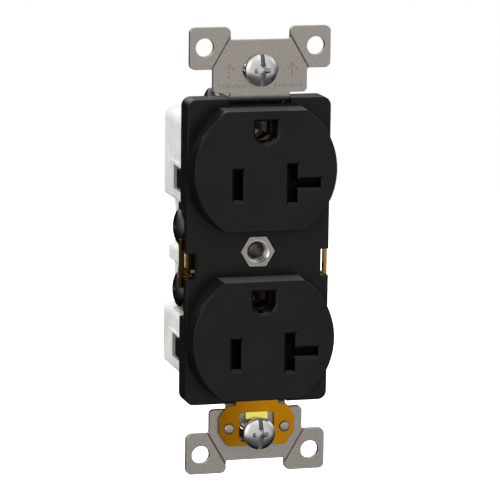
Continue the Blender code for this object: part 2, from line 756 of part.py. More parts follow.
# profiles are radius, height; the first height is the crown of the head
TERM_SCREW = [(0, 1.9), (1.3, 1.86), (2.6, 1.62), (3.6, 1.18), (4.1, .75), (HEAD_R, .5),
              (HEAD_R, .2), (4.05, 0), (SHANK_R, 0), (SHANK_R, -5.2), (1.5, -5.6), (0, -5.6)]
GROUND_SCREW = [(0, 1.9), (1.3, 1.86), (2.6, 1.62), (3.5, 1.18), (4.0, .75), (4.1, .5),
                (4.1, .2), (3.95, 0), (SHANK_R, 0), (SHANK_R, -3.7), (1.5, -4.05), (0, -4.05)]
MOUNT_SCREW = [(0, 2.3), (1.2, 2.24), (2.3, 1.95), (3.15, 1.42), (3.6, .85), (3.7, .5),
               (3.66, .15), (3.5, 0), (1.72, 0), (1.72, -18.3), (1.2, -19.0), (0, -19.0)]
SIDE_DRIVE = dict(width=1.1, half_slot=5.0, half_cross=1.9, depth=1.1)
MOUNT_DRIVE = dict(width=1.0, half_slot=4.5, half_cross=1.45, depth=1.2)


def screw(profile, steps, axis, origin, width, half_slot, half_cross, depth):
    """Screw whose head points along axis and has a slot with a short cross bar."""
    ob = turned(profile, steps, axis, origin)
    x, y, z = origin
    outward = -1 if axis[0] == "-" else 1
    along_x = axis[1] == "X"
    top = (x if along_x else y) + outward * profile[0][1]
    for half_across, half_z, deep in ((width / 2, half_slot, depth),
                                      (half_cross, width / 2, depth * 1.05)):
        along = sorted((top + outward, top - outward * deep))
        x_span = along if along_x else around(x, half_across)
        y_span = around(y, half_across) if along_x else along
        cut(ob, box(x_span, y_span, around(z, half_z)))
    return ob


def build_terminal(side, name, where, look, z):
    """Terminal screw and the grooved plate that clamps the wires."""
    origin = (side * 15.2, TERM_Y, z)
    axis = "-X" if side < 0 else "+X"
    finish(screw(TERM_SCREW, 20, axis, origin, **SIDE_DRIVE),
           f"{name}_terminal_screw_{where}", look, origin)
    clamp = box(span(side, 10.3, 11.4), (8.0, 15.3), around(z, 4.3), .25)
    cut(clamp, cylinder("X", (TERM_Y, z), 2.1, span(side, 9, 12.5), 24))
    for wire in SIDES:
        wire_z = z + wire * WIRE_DZ
        groove = [(11.5, wire_z - .45), (11.5, wire_z + .45), (11.12, wire_z)]
        cut(clamp, prism(to_side(side, groove), (7, 16)))
    finish(clamp, f"{name}_clamp_plate_{where}", "plated_steel", (side * 10.85, TERM_Y, z))


def build_ground_screw():
    origin = (-8.4, GSCREW_Y, GSCREW_Z)
    finish(screw(GROUND_SCREW, 20, "-X", origin, **SIDE_DRIVE),
           "ground_screw", "dark_steel", origin)
    washer = box((-8.25, -7.4), around(GSCREW_Y, 3.9), (GSCREW_Z - 3.9, GSCREW_Z + 2.9), .2)
    cut(washer, cylinder("X", (GSCREW_Y, GSCREW_Z), 2.15, (-9, -7), 24))
    finish(washer, "ground_wire_washer", "plated_steel", (-7.8, GSCREW_Y, GSCREW_Z))


def build_mounting_screw(where, z, head_y):
    """Mounting screw and the square retainer that keeps it captive."""
    origin = (0, head_y, z)
    finish(screw(MOUNT_SCREW, 24, "-Y", origin, **MOUNT_DRIVE),
           f"mounting_screw_{where}", "bright_steel", origin)
    y = 10.15 + head_y
    retainer = prism(rounded_rect(-4, 4, z - 4, z + 4, .8, steps=3), (y, y + .8), "Y",
                     [circle(0, z, 1.88)])
    finish(retainer, f"screw_retainer_{where}", "fibre", (0, y, z))


for name, side, look in (("hot", -1, "dark_steel"), ("neutral", 1, "bright_steel")):
    for where, z in zip(ENDS, TERM_ZS):
        build_terminal(side, name, where, look, z)
build_ground_screw()
build_mounting_screw("top", MOUNT_Z, -.15)
build_mounting_screw("bottom", -MOUNT_Z, -2.5)


# ------------------------------------------------- tamper-resistant shutters
# x, and z from the blade line
TRAY = [(-10.9, -6.4), (10.9, -6.4), (12.6, -4.0), (13.5, -2.0), (13.5, 8.2), (13.1, 9.2),
        (8.6, 9.2), (8.6, 7.0), (-12.6, 7.0), (-13.1, 5.0), (-13.1, -2.6), (-12.1, -4.6)]
# raised walls of the tray: x span, z span from the blade line
TRAY_WALLS = (
    ((-2.6, -1.6), (-1.15, 1.15)), ((9.4, 12.4), (8.3, 9.05)),
    ((-10.4, 10.4), (-6.3, -5.65)), ((-12.2, 8.2), (5.7, 6.3)),
)
SHUTTER_Y = (-3.75, -.7)
SPRING_Y = -2.2
# slopes in the slider's front: outline x, y, then half height
SLIDER_RAMPS = (
    ([(-7.7, -3.85), (-4.2, -3.85), (-4.2, -1.05)], 3.9),
    ([(4.9, -3.85), (8.4, -3.85), (8.4, -1.05)], 4.6),
)


def build_tray(z, where):
    hot = rect(*around(-BLADE_X, 1.25), *around(z, 3.7))
    neutral = tee(*around(BLADE_X, 1.25), 12.9, z, 1.25, 4.4)
    tray = prism([(x, z + dz) for x, dz in TRAY], (-.35, .55), "Y", [hot, neutral])
    for x_span, (low, high) in TRAY_WALLS:
        add(tray, box(x_span, (-3.6, .1), (z + low, z + high)))
    finish(tray, f"shutter_tray_{where}", "dark_plastic", (0, 0, z))


def build_slider(z, where):
    slider = prism(rounded_rect(-8.2, 8.2, z - 5.35, z + 5.35, .4, steps=2), SHUTTER_Y, "Y",
                   [tee(-4.4, -.8, 4.0, z, 1.35, 4.1)])
    for ramp, half in SLIDER_RAMPS:
        cut(slider, prism(ramp, around(z, half), "Z"))
    finish(slider, f"shutter_slider_{where}", "dark_plastic", (0, SPRING_Y, z))


def build_arm(z, where):
    arm = box((8.5, 13.0), SHUTTER_Y, around(z, 2.0))
    cut(arm, prism([(-3.85, z - 2.1), (-3.85, z + 1.2), (-1.2, z - 2.1)], (8, 14), "X"))
    finish(arm, f"shutter_arm_{where}", "dark_plastic", (10.75, SPRING_Y, z))


def build_springs(z, where):
    start_x = -1.55
    finish(coil("X", (SPRING_Y, z), start_x, 3.95),
           f"slider_spring_{where}", "bright_steel", (start_x, SPRING_Y, z))
    arm_x, top_z = 10.9, z + 8.25
    finish(coil("Z", (arm_x, SPRING_Y), z + 2.05, top_z),
           f"arm_spring_{where}", "brass", (arm_x, SPRING_Y, top_z))


for z, where in zip(BLADE_ZS, ENDS):
    build_tray(z, where)
    build_slider(z, where)
    build_arm(z, where)
    build_springs(z, where)
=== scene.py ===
"""Duplex wall outlet on its steel strap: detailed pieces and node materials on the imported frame.

X runs across the outlet (hot side -X, neutral side +X), Z up its length, and Y from the
face (-Y, towards the camera) to the back. Pieces are drawn in millimetres with Y = 0 on the
strap's front surface; finish_piece() moves them into the frame.
"""
import json
import math

import bpy
import bmesh
from mathutils import Matrix, Vector


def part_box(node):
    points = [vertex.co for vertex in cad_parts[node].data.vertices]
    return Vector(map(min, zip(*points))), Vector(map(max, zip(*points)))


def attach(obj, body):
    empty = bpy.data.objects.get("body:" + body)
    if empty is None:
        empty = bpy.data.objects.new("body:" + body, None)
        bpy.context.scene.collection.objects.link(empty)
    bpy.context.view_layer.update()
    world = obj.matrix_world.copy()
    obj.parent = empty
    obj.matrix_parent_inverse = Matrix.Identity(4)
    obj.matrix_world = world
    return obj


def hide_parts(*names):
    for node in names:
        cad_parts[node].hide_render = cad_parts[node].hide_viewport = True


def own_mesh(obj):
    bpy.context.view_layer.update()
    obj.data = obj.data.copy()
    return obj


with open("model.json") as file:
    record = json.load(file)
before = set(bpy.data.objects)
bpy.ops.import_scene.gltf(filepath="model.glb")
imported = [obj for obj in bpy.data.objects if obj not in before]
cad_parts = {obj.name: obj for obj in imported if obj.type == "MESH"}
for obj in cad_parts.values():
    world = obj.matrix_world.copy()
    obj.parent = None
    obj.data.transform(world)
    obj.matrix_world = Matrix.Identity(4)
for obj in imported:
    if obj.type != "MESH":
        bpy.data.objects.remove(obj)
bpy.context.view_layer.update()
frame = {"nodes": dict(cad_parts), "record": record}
NODES = frame["nodes"]
MM = 0.001
STRAP_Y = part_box("mounting_strap")[0].y
STRAP_FRONT = Vector((0, STRAP_Y, 0))


def extent(node):
    """Lowest and highest corner of a CAD node, in strap millimetres."""
    low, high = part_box(node)
    return (low - STRAP_FRONT) / MM, (high - STRAP_FRONT) / MM


def center(node):
    low, high = extent(node)
    return (low + high) / 2


# ------------------------------------------------------------------ sizes (mm)
front_low, front_high = extent("front_housing")
strap_high = extent("mounting_strap")[1]
rear_high = extent("rear_housing")[1]
upper_ground_z = center("ground_contact_upper").z
lower_ground_z = center("ground_contact_lower").z

# the two raised faces: outlines at the foot and at the front rim
FACE_Y = front_low.y
FACE_FOOT_R, FACE_FOOT_H = front_high.x, 13.86
FACE_R, FACE_H = FACE_FOOT_R - .35, 13.74
FACE_Z = (upper_ground_z - lower_ground_z) / 2

# front and rear housings
BODY_W, BODY_H, BODY_DEPTH = FACE_FOOT_R - .2, front_high.z, 6.2
BODY_FLOOR = 2.2
REAR_W, REAR_START, REAR_BACK = rear_high.x - .35, 6.5, rear_high.y
LATCH_Z = (15.9, -23.3)

# openings, from the centre of a face
GROUND_DZ = (upper_ground_z + lower_ground_z) / 2
BLADE_X, BLADE_DZ = 6.35, -3.125
SLOT_HALF_W, HOT_HALF_H, NEUTRAL_HALF_H, NEUTRAL_END = 1.1, 3.5, 4.4, 12.9
HEX_POCKET_R = 4.215

# strap
STRAP_T = 1.4
EAR_X, EAR_Z = strap_high.x, strap_high.z
EAR_IN, EAR_LOW = 6.95, 41.9
EAR_HOLE_X, EAR_HOLE_Z, EAR_HOLE_R = 12.94, 46.88, 2.1
PLATE_X, PLATE_TOP, PLATE_LOW, NECK_X = 10.95, 48.45, 36.45, 7.0
SHELF_Z = 34.95
LEG_Y = (6.6, 8.0)
CLIP_RIVET_X, CLIP_RIVET_Z = 6.55, -40.8

# screws
MOUNT_Z = center("mounting_screw_top").z
TERMINALS_Z = (center("hot_terminal_screw_upper").z, center("hot_terminal_screw_lower").z)
TERMINAL_Y = center("hot_terminal_screw_upper").y
GROUND_SCREW = center("ground_screw")
THREAD_PITCH = .794
MOUNT_HEAD_H, SIDE_HEAD_H = 2.3, 1.9
GROUND_RIVET_DZ = 4.15


# ------------------------------------------------------------------ node helpers
def tone(color, factor, lift=0.0):
    return tuple(min(1, v * factor + lift) for v in color)


class NodeTree:
    """Node tree helpers; every input takes a plain value or a socket to link."""

    def __init__(self, tree):
        self.tree = tree

    def feed(self, node, inputs):
        for key, value in inputs.items():
            socket = node.inputs[key]
            if isinstance(value, bpy.types.NodeSocket):
                self.tree.links.new(value, socket)
            elif socket.type == "RGBA":
                socket.default_value = (*value, 1)
            else:
                socket.default_value = value

    def node(self, kind, inputs={}, **settings):
        node = self.tree.nodes.new(kind)
        for name, value in settings.items():
            setattr(node, name, value)
        self.feed(node, inputs)
        return node

    def math(self, operation, a, b):
        return self.node("ShaderNodeMath", {0: a, 1: b}, operation=operation).outputs[0]

    def dot(self, a, b):
        node = self.node("ShaderNodeVectorMath", {0: a, 1: b}, operation="DOT_PRODUCT")
        return node.outputs["Value"]

    def split(self, vector):
        return self.node("ShaderNodeSeparateXYZ", {0: vector}).outputs

    def ramp(self, factor, stops, interpolation="LINEAR"):
        """Colour ramp through (position, colour) stops."""
        node = self.node("ShaderNodeValToRGB", {"Fac": factor})
        elements = node.color_ramp.elements
        while len(elements) < len(stops):
            elements.new(.5)
        for element, (position, color) in zip(elements, stops):
            element.position = position
            element.color = (*color, 1)
        node.color_ramp.interpolation = interpolation
        return node.outputs["Color"]


class Material(NodeTree):
    def __init__(self, name):
        self.material = bpy.data.materials.new(name)
        self.material.use_nodes = True
        super().__init__(self.material.node_tree)
        self.shader = self.tree.nodes["Principled BSDF"]
        self.coord = self.node("ShaderNodeTexCoord").outputs["Object"]

    def noise(self, scale, detail=3, roughness=.6, stretch=(1, 1, 1)):
        mapping = self.node("ShaderNodeMapping", {"Vector": self.coord, "Scale": stretch})
        return self.node("ShaderNodeTexNoise", {
            "Vector": mapping.outputs["Vector"], "Scale": scale,
            "Detail": detail, "Roughness": roughness}).outputs["Fac"]

    def remap(self, value, source=(0, 1), to=(0, 1)):
        return self.node("ShaderNodeMapRange", {
            "Value": value, "From Min": source[0], "From Max": source[1],
            "To Min": to[0], "To Max": to[1]}).outputs["Result"]

    def mix(self, factor, a, b):
        return self.node("ShaderNodeMix", {0: factor, 6: a, 7: b}, data_type="RGBA").outputs[2]

    def edge(self, radius):
        """Mask of the edges, and the rounded normal it comes from."""
        bevel = self.node("ShaderNodeBevel", {"Radius": radius}, samples=6).outputs["Normal"]
        normal = self.node("ShaderNodeNewGeometry").outputs["Normal"]
        bend = self.math("SUBTRACT", 1.0, self.dot(bevel, normal))
        return self.remap(bend, source=(.02, .35)), bevel

    def bump(self, height, strength, distance, normal):
        return self.node("ShaderNodeBump", {
            "Height": height, "Strength": strength, "Distance": distance,
            "Normal": normal}).outputs["Normal"]


# ------------------------------------------------------------------ materials
def painted_light_and_shade(look, base, top_tone, color, specular, roughness):
    """Painted light and shade: upward faces take top_tone, with a painted highlight on those in
    front of the strap; creases and the flank facing -X get painted shade, and the underside is
    dulled.
    """
    geometry = look.node("ShaderNodeNewGeometry")
    normal = look.split(geometry.outputs["Normal"])
    place = look.split(geometry.outputs["Position"])
    # painted highlight: upward faces in front of the strap are lightened thirteen times
    on_ledge = look.math("LESS_THAN", place["Y"], STRAP_Y - .0002)
    painted_top_light = look.mix(on_ledge, top_tone, tone(top_tone, 13))
    color = look.mix(look.remap(normal["Z"], source=(.80, .99)), color, painted_top_light)
    # painted shade: creases found by ambient occlusion are darkened, and their specular level is
    # lowered below
    occlusion = look.node("ShaderNodeAmbientOcclusion", {"Distance": .004}, samples=4)
    open_air = look.remap(occlusion.outputs["AO"], source=(.35, .95), to=(.62, 1.0))
    color = look.mix(open_air, tone(base, .3), color)
    # painted shade: the flank facing -X is darkened
    flank = look.remap(normal["X"], source=(-.98, -.80), to=(1, 0))
    color = look.mix(flank, color, tone(base, .30))
    upward = look.remap(normal["Z"], source=(-.55, -.10), to=(.12, 1.0))
    specular = look.math("MULTIPLY", look.math("MULTIPLY", upward, open_air), specular)
    underside = look.remap(normal["Z"], source=(-.65, -.15), to=(.45, 0))
    return color, specular, look.math("ADD", roughness, underside)


def plastic(name, base, rough, specular=.5, wear=.25, subsurface=0.0, texture=.10,
            edge_radius=.12, top_tone=None):
    """Moulded plastic: texture is the bump strength, wear lightens edges of edge_radius mm, and
    top_tone turns on painted light and shade.
    """
    look = Material(name)
    cloud = look.noise(160)
    fine = look.noise(5200, detail=2)
    grit = look.noise(15000, detail=1, roughness=.5)
    edge, normal = look.edge(edge_radius * MM)
    color = look.ramp(cloud, [(.3, tone(base, .88)), (.7, tone(base, 1.10, .001))])
    color = look.mix(look.math("MULTIPLY", edge, wear), color, tone(base, 1.5, .012))
    roughness = look.math("ADD", look.remap(cloud, to=(-.03, .03)),
                          look.remap(fine, to=(rough - .05, rough + .05)))
    if top_tone:
        color, specular, roughness = painted_light_and_shade(look, base, top_tone, color, specular, roughness)
    height = look.math("ADD", look.math("MULTIPLY", fine, .6), grit)
    look.feed(look.shader, {
        "Base Color": color, "Roughness": roughness, "Metallic": 0.0,
        "Normal": look.bump(height, strength=texture, distance=.02 * MM, normal=normal),
        "Specular IOR Level": specular, "Subsurface Weight": subsurface})
    return look.material


def metal(name, base, rough, stretch=(1, 1, 1), grain=.10, spot=.06, bump=.12, wear=.3,
          edge_radius=.10, tint=None, grit_scale=9000, front=None, across=None):
    """Metal: spot and grain vary the colour broadly and finely, stretch draws out the grain,
    and front and across are the tones of painted shade reached on front faces and towards -X."""
    look = Material(name)
    cloud = look.noise(120, detail=4)
    mottle = look.noise(700)
    fibres = look.noise(2600, detail=2, stretch=stretch)
    grit = look.noise(grit_scale, detail=1, roughness=.5)
    patches = look.math("ADD", look.math("MULTIPLY", cloud, .5),
                        look.math("MULTIPLY", mottle, .5))
    color = look.ramp(patches, [(.35, tone(base, 1 - spot)), (.65, tone(tint or base, 1 + spot))])
    grains = look.ramp(grit, [(.3, tone(base, 1 - grain)), (.7, tone(base, 1 + grain))])
    color = look.mix(.5, color, grains)
    edge, normal = look.edge(edge_radius * MM)
    color = look.mix(look.math("MULTIPLY", edge, wear), color, tone(base, 1.35, .03))
    # painted shade: darker towards -X
    if across:
        place = look.split(look.node("ShaderNodeNewGeometry").outputs["Position"])
        amount = look.remap(place["X"], source=(-.0075, .0015), to=(1, 0))
        color = look.mix(amount, color, tone(base, across))
    # painted shade: front-facing faces darkened
    if front:
        facing = look.split(look.node("ShaderNodeNewGeometry").outputs["Normal"])
        amount = look.remap(facing["Y"], source=(-.45, .15), to=(1, 0))
        color = look.mix(amount, color, tone(base, front))
    height = look.math("ADD", fibres, look.math("MULTIPLY", grit, .5))
    roughness = look.math("ADD", look.remap(fibres, to=(rough - .08, rough + .08)),
                          look.remap(mottle, to=(-.04, .04)))
    look.feed(look.shader, {
        "Base Color": color, "Metallic": 1.0, "Roughness": roughness,
        "Normal": look.bump(height, strength=bump, distance=.012 * MM, normal=normal)})
    return look.material


MATERIALS = {
    # the black plastic carries painted light and shade, turned on by top_tone
    "black_plastic": plastic(
        "black_satin_plastic", base=(.0085, .0085, .0087), rough=.22, specular=.155, wear=0.0,
        edge_radius=.05, texture=.16, top_tone=(.0085, .0085, .0085)),
    "white_plastic": plastic("off_white_plastic", base=(.89, .895, .868), rough=.42,
                             wear=.15, subsurface=.08, texture=.05),
    # a darker, rougher copy of the off-white plastic, for the latch borders
    "white_darker_satin": plastic("off_white_darker_satin_border", base=(.82, .825, .80), rough=.5,
                           wear=.1, subsurface=.05, texture=.05),
    # painted shade: a darker copy of the off-white plastic, for the latch pockets
    "white_recess_painted_shade": plastic("off_white_painted_recess_shade", base=(.40, .40, .385), rough=.55,
                            wear=.1, subsurface=.02, texture=.05),
    "dark_plastic": plastic("dark_acetal", base=(.006, .006, .0062), rough=.5,
                            specular=.25, wear=.1),
    "plated_steel": metal("plated_steel", base=(.425, .388, .358), rough=.42, grain=.40,
                          bump=.45, wear=.12, edge_radius=.05, grit_scale=3600),
    "bright_steel": metal("bright_steel", base=(.62, .62, .62), rough=.17, grain=.03,
                          spot=.03, bump=.04, wear=.1, edge_radius=.03),
    "slot_steel": metal("shadowed_steel", base=(.20, .20, .195), rough=.45, grain=.05,
                        spot=.03, bump=.05, wear=.1, edge_radius=.02),
    "cut_steel": metal("machined_steel", base=(.70, .70, .705), rough=.20, grain=.03,
                       spot=.03, bump=.04, wear=.1, edge_radius=.02),
    # front=.3 paints shade on the front-facing faces of this dark steel
    "dark_steel": metal("dark_plated_steel", base=(.14, .137, .133), rough=.22, grain=.06,
                        bump=.05, edge_radius=.04, front=.3),
    "brass": metal("rolled_brass", base=(.36, .205, .034), rough=.22, stretch=(1, 1, .15),
                   tint=(.31, .17, .020), bump=.06, wear=.15, edge_radius=.04),
    "dark_brass": metal("shadowed_brass", base=(.030, .017, .003), rough=.3,
                        tint=(.036, .020, .003), bump=.05, wear=.1, edge_radius=.03),
    # painted highlight: a much lighter copy of the spring brass, for the clip's bent finger
    "brass_painted_highlight": metal("spring_brass_painted_highlight", base=(.86, .80, .16), rough=.2, grain=.03,
                          tint=(.90, .85, .20), bump=.03, wear=.1, edge_radius=.03),
    # across=.62 paints shade towards -X on the amber brass
    "amber_brass": metal(
        "amber_spring_brass", base=(.51, .205, .005), rough=.24, stretch=(.2, 1, 1), grain=.03,
        tint=(.56, .25, .007), bump=.035, spot=.03, wear=.2, edge_radius=.04, across=.62),
    "nickel_brass": metal("nickel_plated_brass", base=(.60, .58, .54), rough=.28),
    "green_steel": metal("green_chromated_steel", base=(.05, .16, .07), rough=.33),
    "fibre": plastic("dark_fibre", base=(.055, .045, .038), rough=.8, texture=.5, wear=.2),
    # bronze hue darkened as painted shade, for parts seen deep in the grounding holes
    "bronze": metal("bronze_darkened_by_painted_shade", base=(.036, .034, .030), rough=.36),
}

slot_of = {part["node"]: part["material_slot"] for part in frame["record"]["subparts"]}
for node_name, node_object in NODES.items():
    node_object.data.materials.clear()
    node_object.data.materials.append(MATERIALS[slot_of[node_name]])


# ------------------------------------------------------------------ outlines
def span(side, a, b):
    """Range between two distances from the middle, on the + or - side."""
    return sorted((side * a, side * b))


def rectangle(x0, x1, z0, z1):
    return [(x0, z0), (x1, z0), (x1, z1), (x0, z1)]


def circle(x, z, radius, count=40):
    turns = [2 * math.pi * i / count for i in range(count)]
    return [(x + radius * math.cos(a), z + radius * math.sin(a)) for a in turns]


def hexagon(radius):
    turns = [math.radians(60 * i) for i in range(6)]
    return [(radius * math.cos(a), radius * math.sin(a)) for a in turns]


def arc(x, z, radius, start, end, steps):
    turns = [math.radians(start + (end - start) * i / steps) for i in range(steps + 1)]
    return [(x + radius * math.cos(a), z + radius * math.sin(a)) for a in turns]


def fillet(before, corner, after, radius, steps):
    """Centre and angles of the arc that rounds a corner."""
    p = Vector(corner[:2])
    a = (Vector(before[:2]) - p).normalized()
    b = (Vector(after[:2]) - p).normalized()
    half = a.angle(b) / 2
    reach = radius / math.tan(half)
    middle = p + (a + b).normalized() * (radius / math.sin(half))
    start, end = p + a * reach - middle, p + b * reach - middle
    first = math.atan2(start.y, start.x)
    turn = math.atan2(start.x * end.y - start.y * end.x, start.dot(end))
    return middle, [first + turn * i / steps for i in range(steps + 1)]


def rounded(corners, steps=6):
    """Closed outline through (x, z, corner radius)."""
    points = []
    for i, corner in enumerate(corners):
        x, z, radius = corner
        if radius <= 0:
            points.append((x, z))
            continue
        after = corners[(i + 1) % len(corners)]
        c, angles = fillet(corners[i - 1], corner, after, radius, steps)
        points += [(c.x + radius * math.cos(a), c.y + radius * math.sin(a)) for a in angles]
    return points


def rounded_box(x0, x1, z0, z1, radius, steps=6):
    return rounded([(x, z, radius) for x, z in rectangle(x0, x1, z0, z1)], steps)


def ccw(points):
    area = sum(points[i - 1][0] * points[i][1] - points[i][0] * points[i - 1][1]
               for i in range(len(points)))
    return list(points) if area > 0 else list(points)[::-1]


def loop_of(points, gap=2e-4):
    """Counter-clockwise outline without doubled points."""
    kept = []
    for p in points:
        if not kept or (Vector(p) - Vector(kept[-1])).length > gap:
            kept.append(tuple(p))
    while len(kept) > 2 and (Vector(kept[0]) - Vector(kept[-1])).length <= gap:
        kept.pop()
    return ccw(kept)


def offset(loop, distance):
    """Counter-clockwise outline moved inwards, or outwards if distance is negative."""
    moved = []
    for i in range(len(loop)):
        before, p, after = Vector(loop[i - 1]), Vector(loop[i]), Vector(loop[(i + 1) % len(loop)])
        a, b = (p - before).normalized(), (after - p).normalized()
        normal_a, normal_b = Vector((-a.y, a.x)), Vector((-b.y, b.x))
        share = max(1 + normal_a.dot(normal_b), .35)
        moved.append(tuple(p + (normal_a + normal_b) * (distance / share)))
    return moved


# ------------------------------------------------------------------ solids
# Outline axes (a, b) and height h as (x, y, z), for shapes raised along each axis.
AXES = {
    "X": lambda a, b, h: (h, a, b),
    "Y": lambda a, b, h: (a, h, b),
    "Z": lambda a, b, h: (a, b, h),
}


def solid(bm):
    bmesh.ops.recalc_face_normals(bm, faces=bm.faces)
    mesh = bpy.data.meshes.new("part")
    bm.to_mesh(mesh)
    bm.free()
    part = bpy.data.objects.new("part", mesh)
    bpy.context.scene.collection.objects.link(part)
    return part


def stack(rings, axis="Y"):
    """Closed skin over (outline, height) rings of equal point count."""
    place = AXES[axis]
    bm = bmesh.new()
    rows = [[bm.verts.new([c * MM for c in place(a, b, height)]) for a, b in outline]
            for outline, height in rings]
    count = len(rows[0])
    bm.faces.new(rows[0])
    bm.faces.new(rows[-1])
    for row, after in zip(rows, rows[1:]):
        for i in range(count):
            j = (i + 1) % count
            bm.faces.new((row[i], row[j], after[j], after[i]))
    return solid(bm)


def prism(outline, low, high, axis="Y"):
    loop = loop_of(outline)
    return stack([(loop, low), (loop, high)], axis)


def rim(loop, end, inward, radius, steps):
    """Quarter-round rings from an end inwards; a negative radius flares out."""
    if not radius:
        return [(offset(loop, 0), end)]
    turns = [i / steps * math.pi / 2 for i in range(steps + 1)]
    return [(offset(loop, radius * (1 - math.sin(a))),
             end + inward * abs(radius) * (1 - math.cos(a))) for a in turns]


def soft(outline, low, high, axis="Y", low_rim=.1, high_rim=.1, steps=3):
    """Prism with rounded rims."""
    loop = loop_of(outline)
    return stack(rim(loop, low, 1, low_rim, steps)
                 + rim(loop, high, -1, high_rim, steps)[::-1], axis)


def bore(outline, low, high, axis="Y", low_rim=.1, high_rim=.1, steps=3, over=1.0):
    """Cutter that runs past both ends and leaves rounded rims at low and high."""
    loop = loop_of(outline)
    rings = [(offset(loop, -low_rim) if low_rim else loop, low - over)]
    if low_rim:
        rings += rim(loop, low - 1e-4, 1, -low_rim, steps)
    if high_rim:
        rings += rim(loop, high + 1e-4, -1, -high_rim, steps)[::-1]
    rings.append((offset(loop, -high_rim) if high_rim else loop, high + over))
    return stack(rings, axis)


def box(x_range, y_range, z_range, bevel=0.0, segments=2):
    bm = bmesh.new()
    bmesh.ops.create_cube(bm, size=1.0)
    for v in bm.verts:
        v.co = Vector([(low + (c + .5) * (high - low)) * MM
                       for c, (low, high) in zip(v.co, (x_range, y_range, z_range))])
    if bevel:
        bmesh.ops.bevel(bm, geom=list(bm.edges), offset=bevel * MM, segments=segments,
                        profile=.5, affect="EDGES")
    return solid(bm)


def lathe(rows, segments=48):
    """Turned solid about Z: rows of (height, radius or function of angle), top first."""
    bm = bmesh.new()
    top = bm.verts.new((0, 0, rows[0][0] * MM))
    before = None
    for height, radius in rows:
        row = []
        for j in range(segments):
            a = 2 * math.pi * j / segments
            r = radius(a) if callable(radius) else radius
            row.append(bm.verts.new((r * math.cos(a) * MM, r * math.sin(a) * MM, height * MM)))
        for j in range(segments):
            k = (j + 1) % segments
            if before is None:
                bm.faces.new((top, row[j], row[k]))
            else:
                bm.faces.new((before[j], row[j], row[k], before[k]))
        before = row
    end = bm.verts.new((0, 0, rows[-1][0] * MM))
    for j in range(segments):
        bm.faces.new((end, before[(j + 1) % segments], before[j]))
    return solid(bm)


def thread_rows(top, bottom, root, crest, run, per_turn=8):
    """Lathe rows of a screw thread that fades in and out over `run` turns."""
    rows = []
    count = int((top - bottom) / THREAD_PITCH * per_turn)
    fade_length = run * THREAD_PITCH
    for i in range(count + 1):
        height = top + (bottom - top) * i / count
        fade = min(1.0, (top - height) / fade_length, (height - bottom) / fade_length)

        def radius(angle, height=height, fade=fade):
            phase = (height / THREAD_PITCH + angle / (2 * math.pi)) % 1.0
            ridge = max(0.0, 1 - abs(phase - .5) / .42)
            return root + (crest - root) * min(1.0, ridge * 1.25) * max(0.0, fade)
        rows.append((height, radius))
    return rows


def lay(part, direction, place):
    """Turns a lathed part's top towards a direction and moves it into place."""
    quarter = math.pi / 2
    turn = {"-X": Matrix.Rotation(-quarter, 4, "Y"), "+X": Matrix.Rotation(quarter, 4, "Y"),
            "-Y": Matrix.Rotation(quarter, 4, "X")}[direction]
    part.data.transform(Matrix.Translation([v * MM for v in place]) @ turn)
    return part


def sheet(path, thickness, low, high, edge, steps):
    """Bent sheet: a centre line of (y, z, bend radius), given thickness and swept along X."""
    points = []
    for i, corner in enumerate(path):
        radius = corner[2]
        if radius <= 0 or i in (0, len(path) - 1):
            points.append(Vector(corner[:2]))
            continue
        c, angles = fillet(path[i - 1], corner, path[i + 1], radius, steps)
        points += [c + radius * Vector((math.cos(a), math.sin(a))) for a in angles]
    left, right = [], []
    for i, p in enumerate(points):
        if i == 0:
            along = points[1] - p
        elif i == len(points) - 1:
            along = p - points[-2]
        else:
            along = (points[i + 1] - p).normalized() + (p - points[i - 1]).normalized()
        along.normalize()
        side = Vector((-along.y, along.x)) * thickness / 2
        left.append(tuple(p + side))
        right.append(tuple(p - side))
    return soft(left + right[::-1], low, high, "X", edge, edge, 2)


def helix(axis, middle, radius, wire, low, high, turns=5.5, per_turn=28, ring=12):
    """Compression spring of a wire radius, with flat end turns."""
    count = int(turns * per_turn)
    path = []
    for i in range(count + 1):
        part = i / count
        climb = min(max((part * turns - .75) / (turns - 1.5), 0.0), 1.0)
        height = low + wire + (high - low - 2 * wire) * (.06 * part + .94 * climb)
        a = 2 * math.pi * turns * part
        path.append(Vector((radius * math.cos(a), radius * math.sin(a), height)))
    bm = bmesh.new()
    before = None
    for i, p in enumerate(path):
        along = (path[min(i + 1, count)] - path[max(i - 1, 0)]).normalized()
        out = Vector((p.x, p.y, 0)).normalized()
        side = along.cross(out).normalized()
        row = []
        for j in range(ring):
            a = 2 * math.pi * j / ring
            q = p + (out * math.cos(a) + side * math.sin(a)) * wire
            place = AXES[axis](middle[0] + q.x, middle[1] + q.y, q.z)
            row.append(bm.verts.new([v * MM for v in place]))
        if before:
            for j in range(ring):
                k = (j + 1) % ring
                bm.faces.new((before[j], before[k], row[k], row[j]))
        else:
            bm.faces.new(row[::-1])
        before = row
    bm.faces.new(before)
    return solid(bm)


# ------------------------------------------------------------------ joining and finishing
def clean(mesh):
    bm = bmesh.new()
    bm.from_mesh(mesh)
    bmesh.ops.remove_doubles(bm, verts=bm.verts, dist=1e-7)
    bmesh.ops.dissolve_degenerate(bm, edges=bm.edges, dist=1e-8)
    bmesh.ops.recalc_face_normals(bm, faces=bm.faces)
    bm.to_mesh(mesh)
    bm.free()
    return mesh


def boolean(part, others, operation):
    for other in others:
        modifier = part.modifiers.new("shape", "BOOLEAN")
        modifier.operation = operation
        modifier.solver = "EXACT"
        modifier.object = other
        bpy.context.view_layer.update()
        depsgraph = bpy.context.evaluated_depsgraph_get()
        mesh = bpy.data.meshes.new_from_object(part.evaluated_get(depsgraph))
        part.modifiers.clear()
        old = part.data
        part.data = clean(mesh)
        bpy.data.meshes.remove(old)
        bpy.data.objects.remove(other, do_unlink=True)
    return part


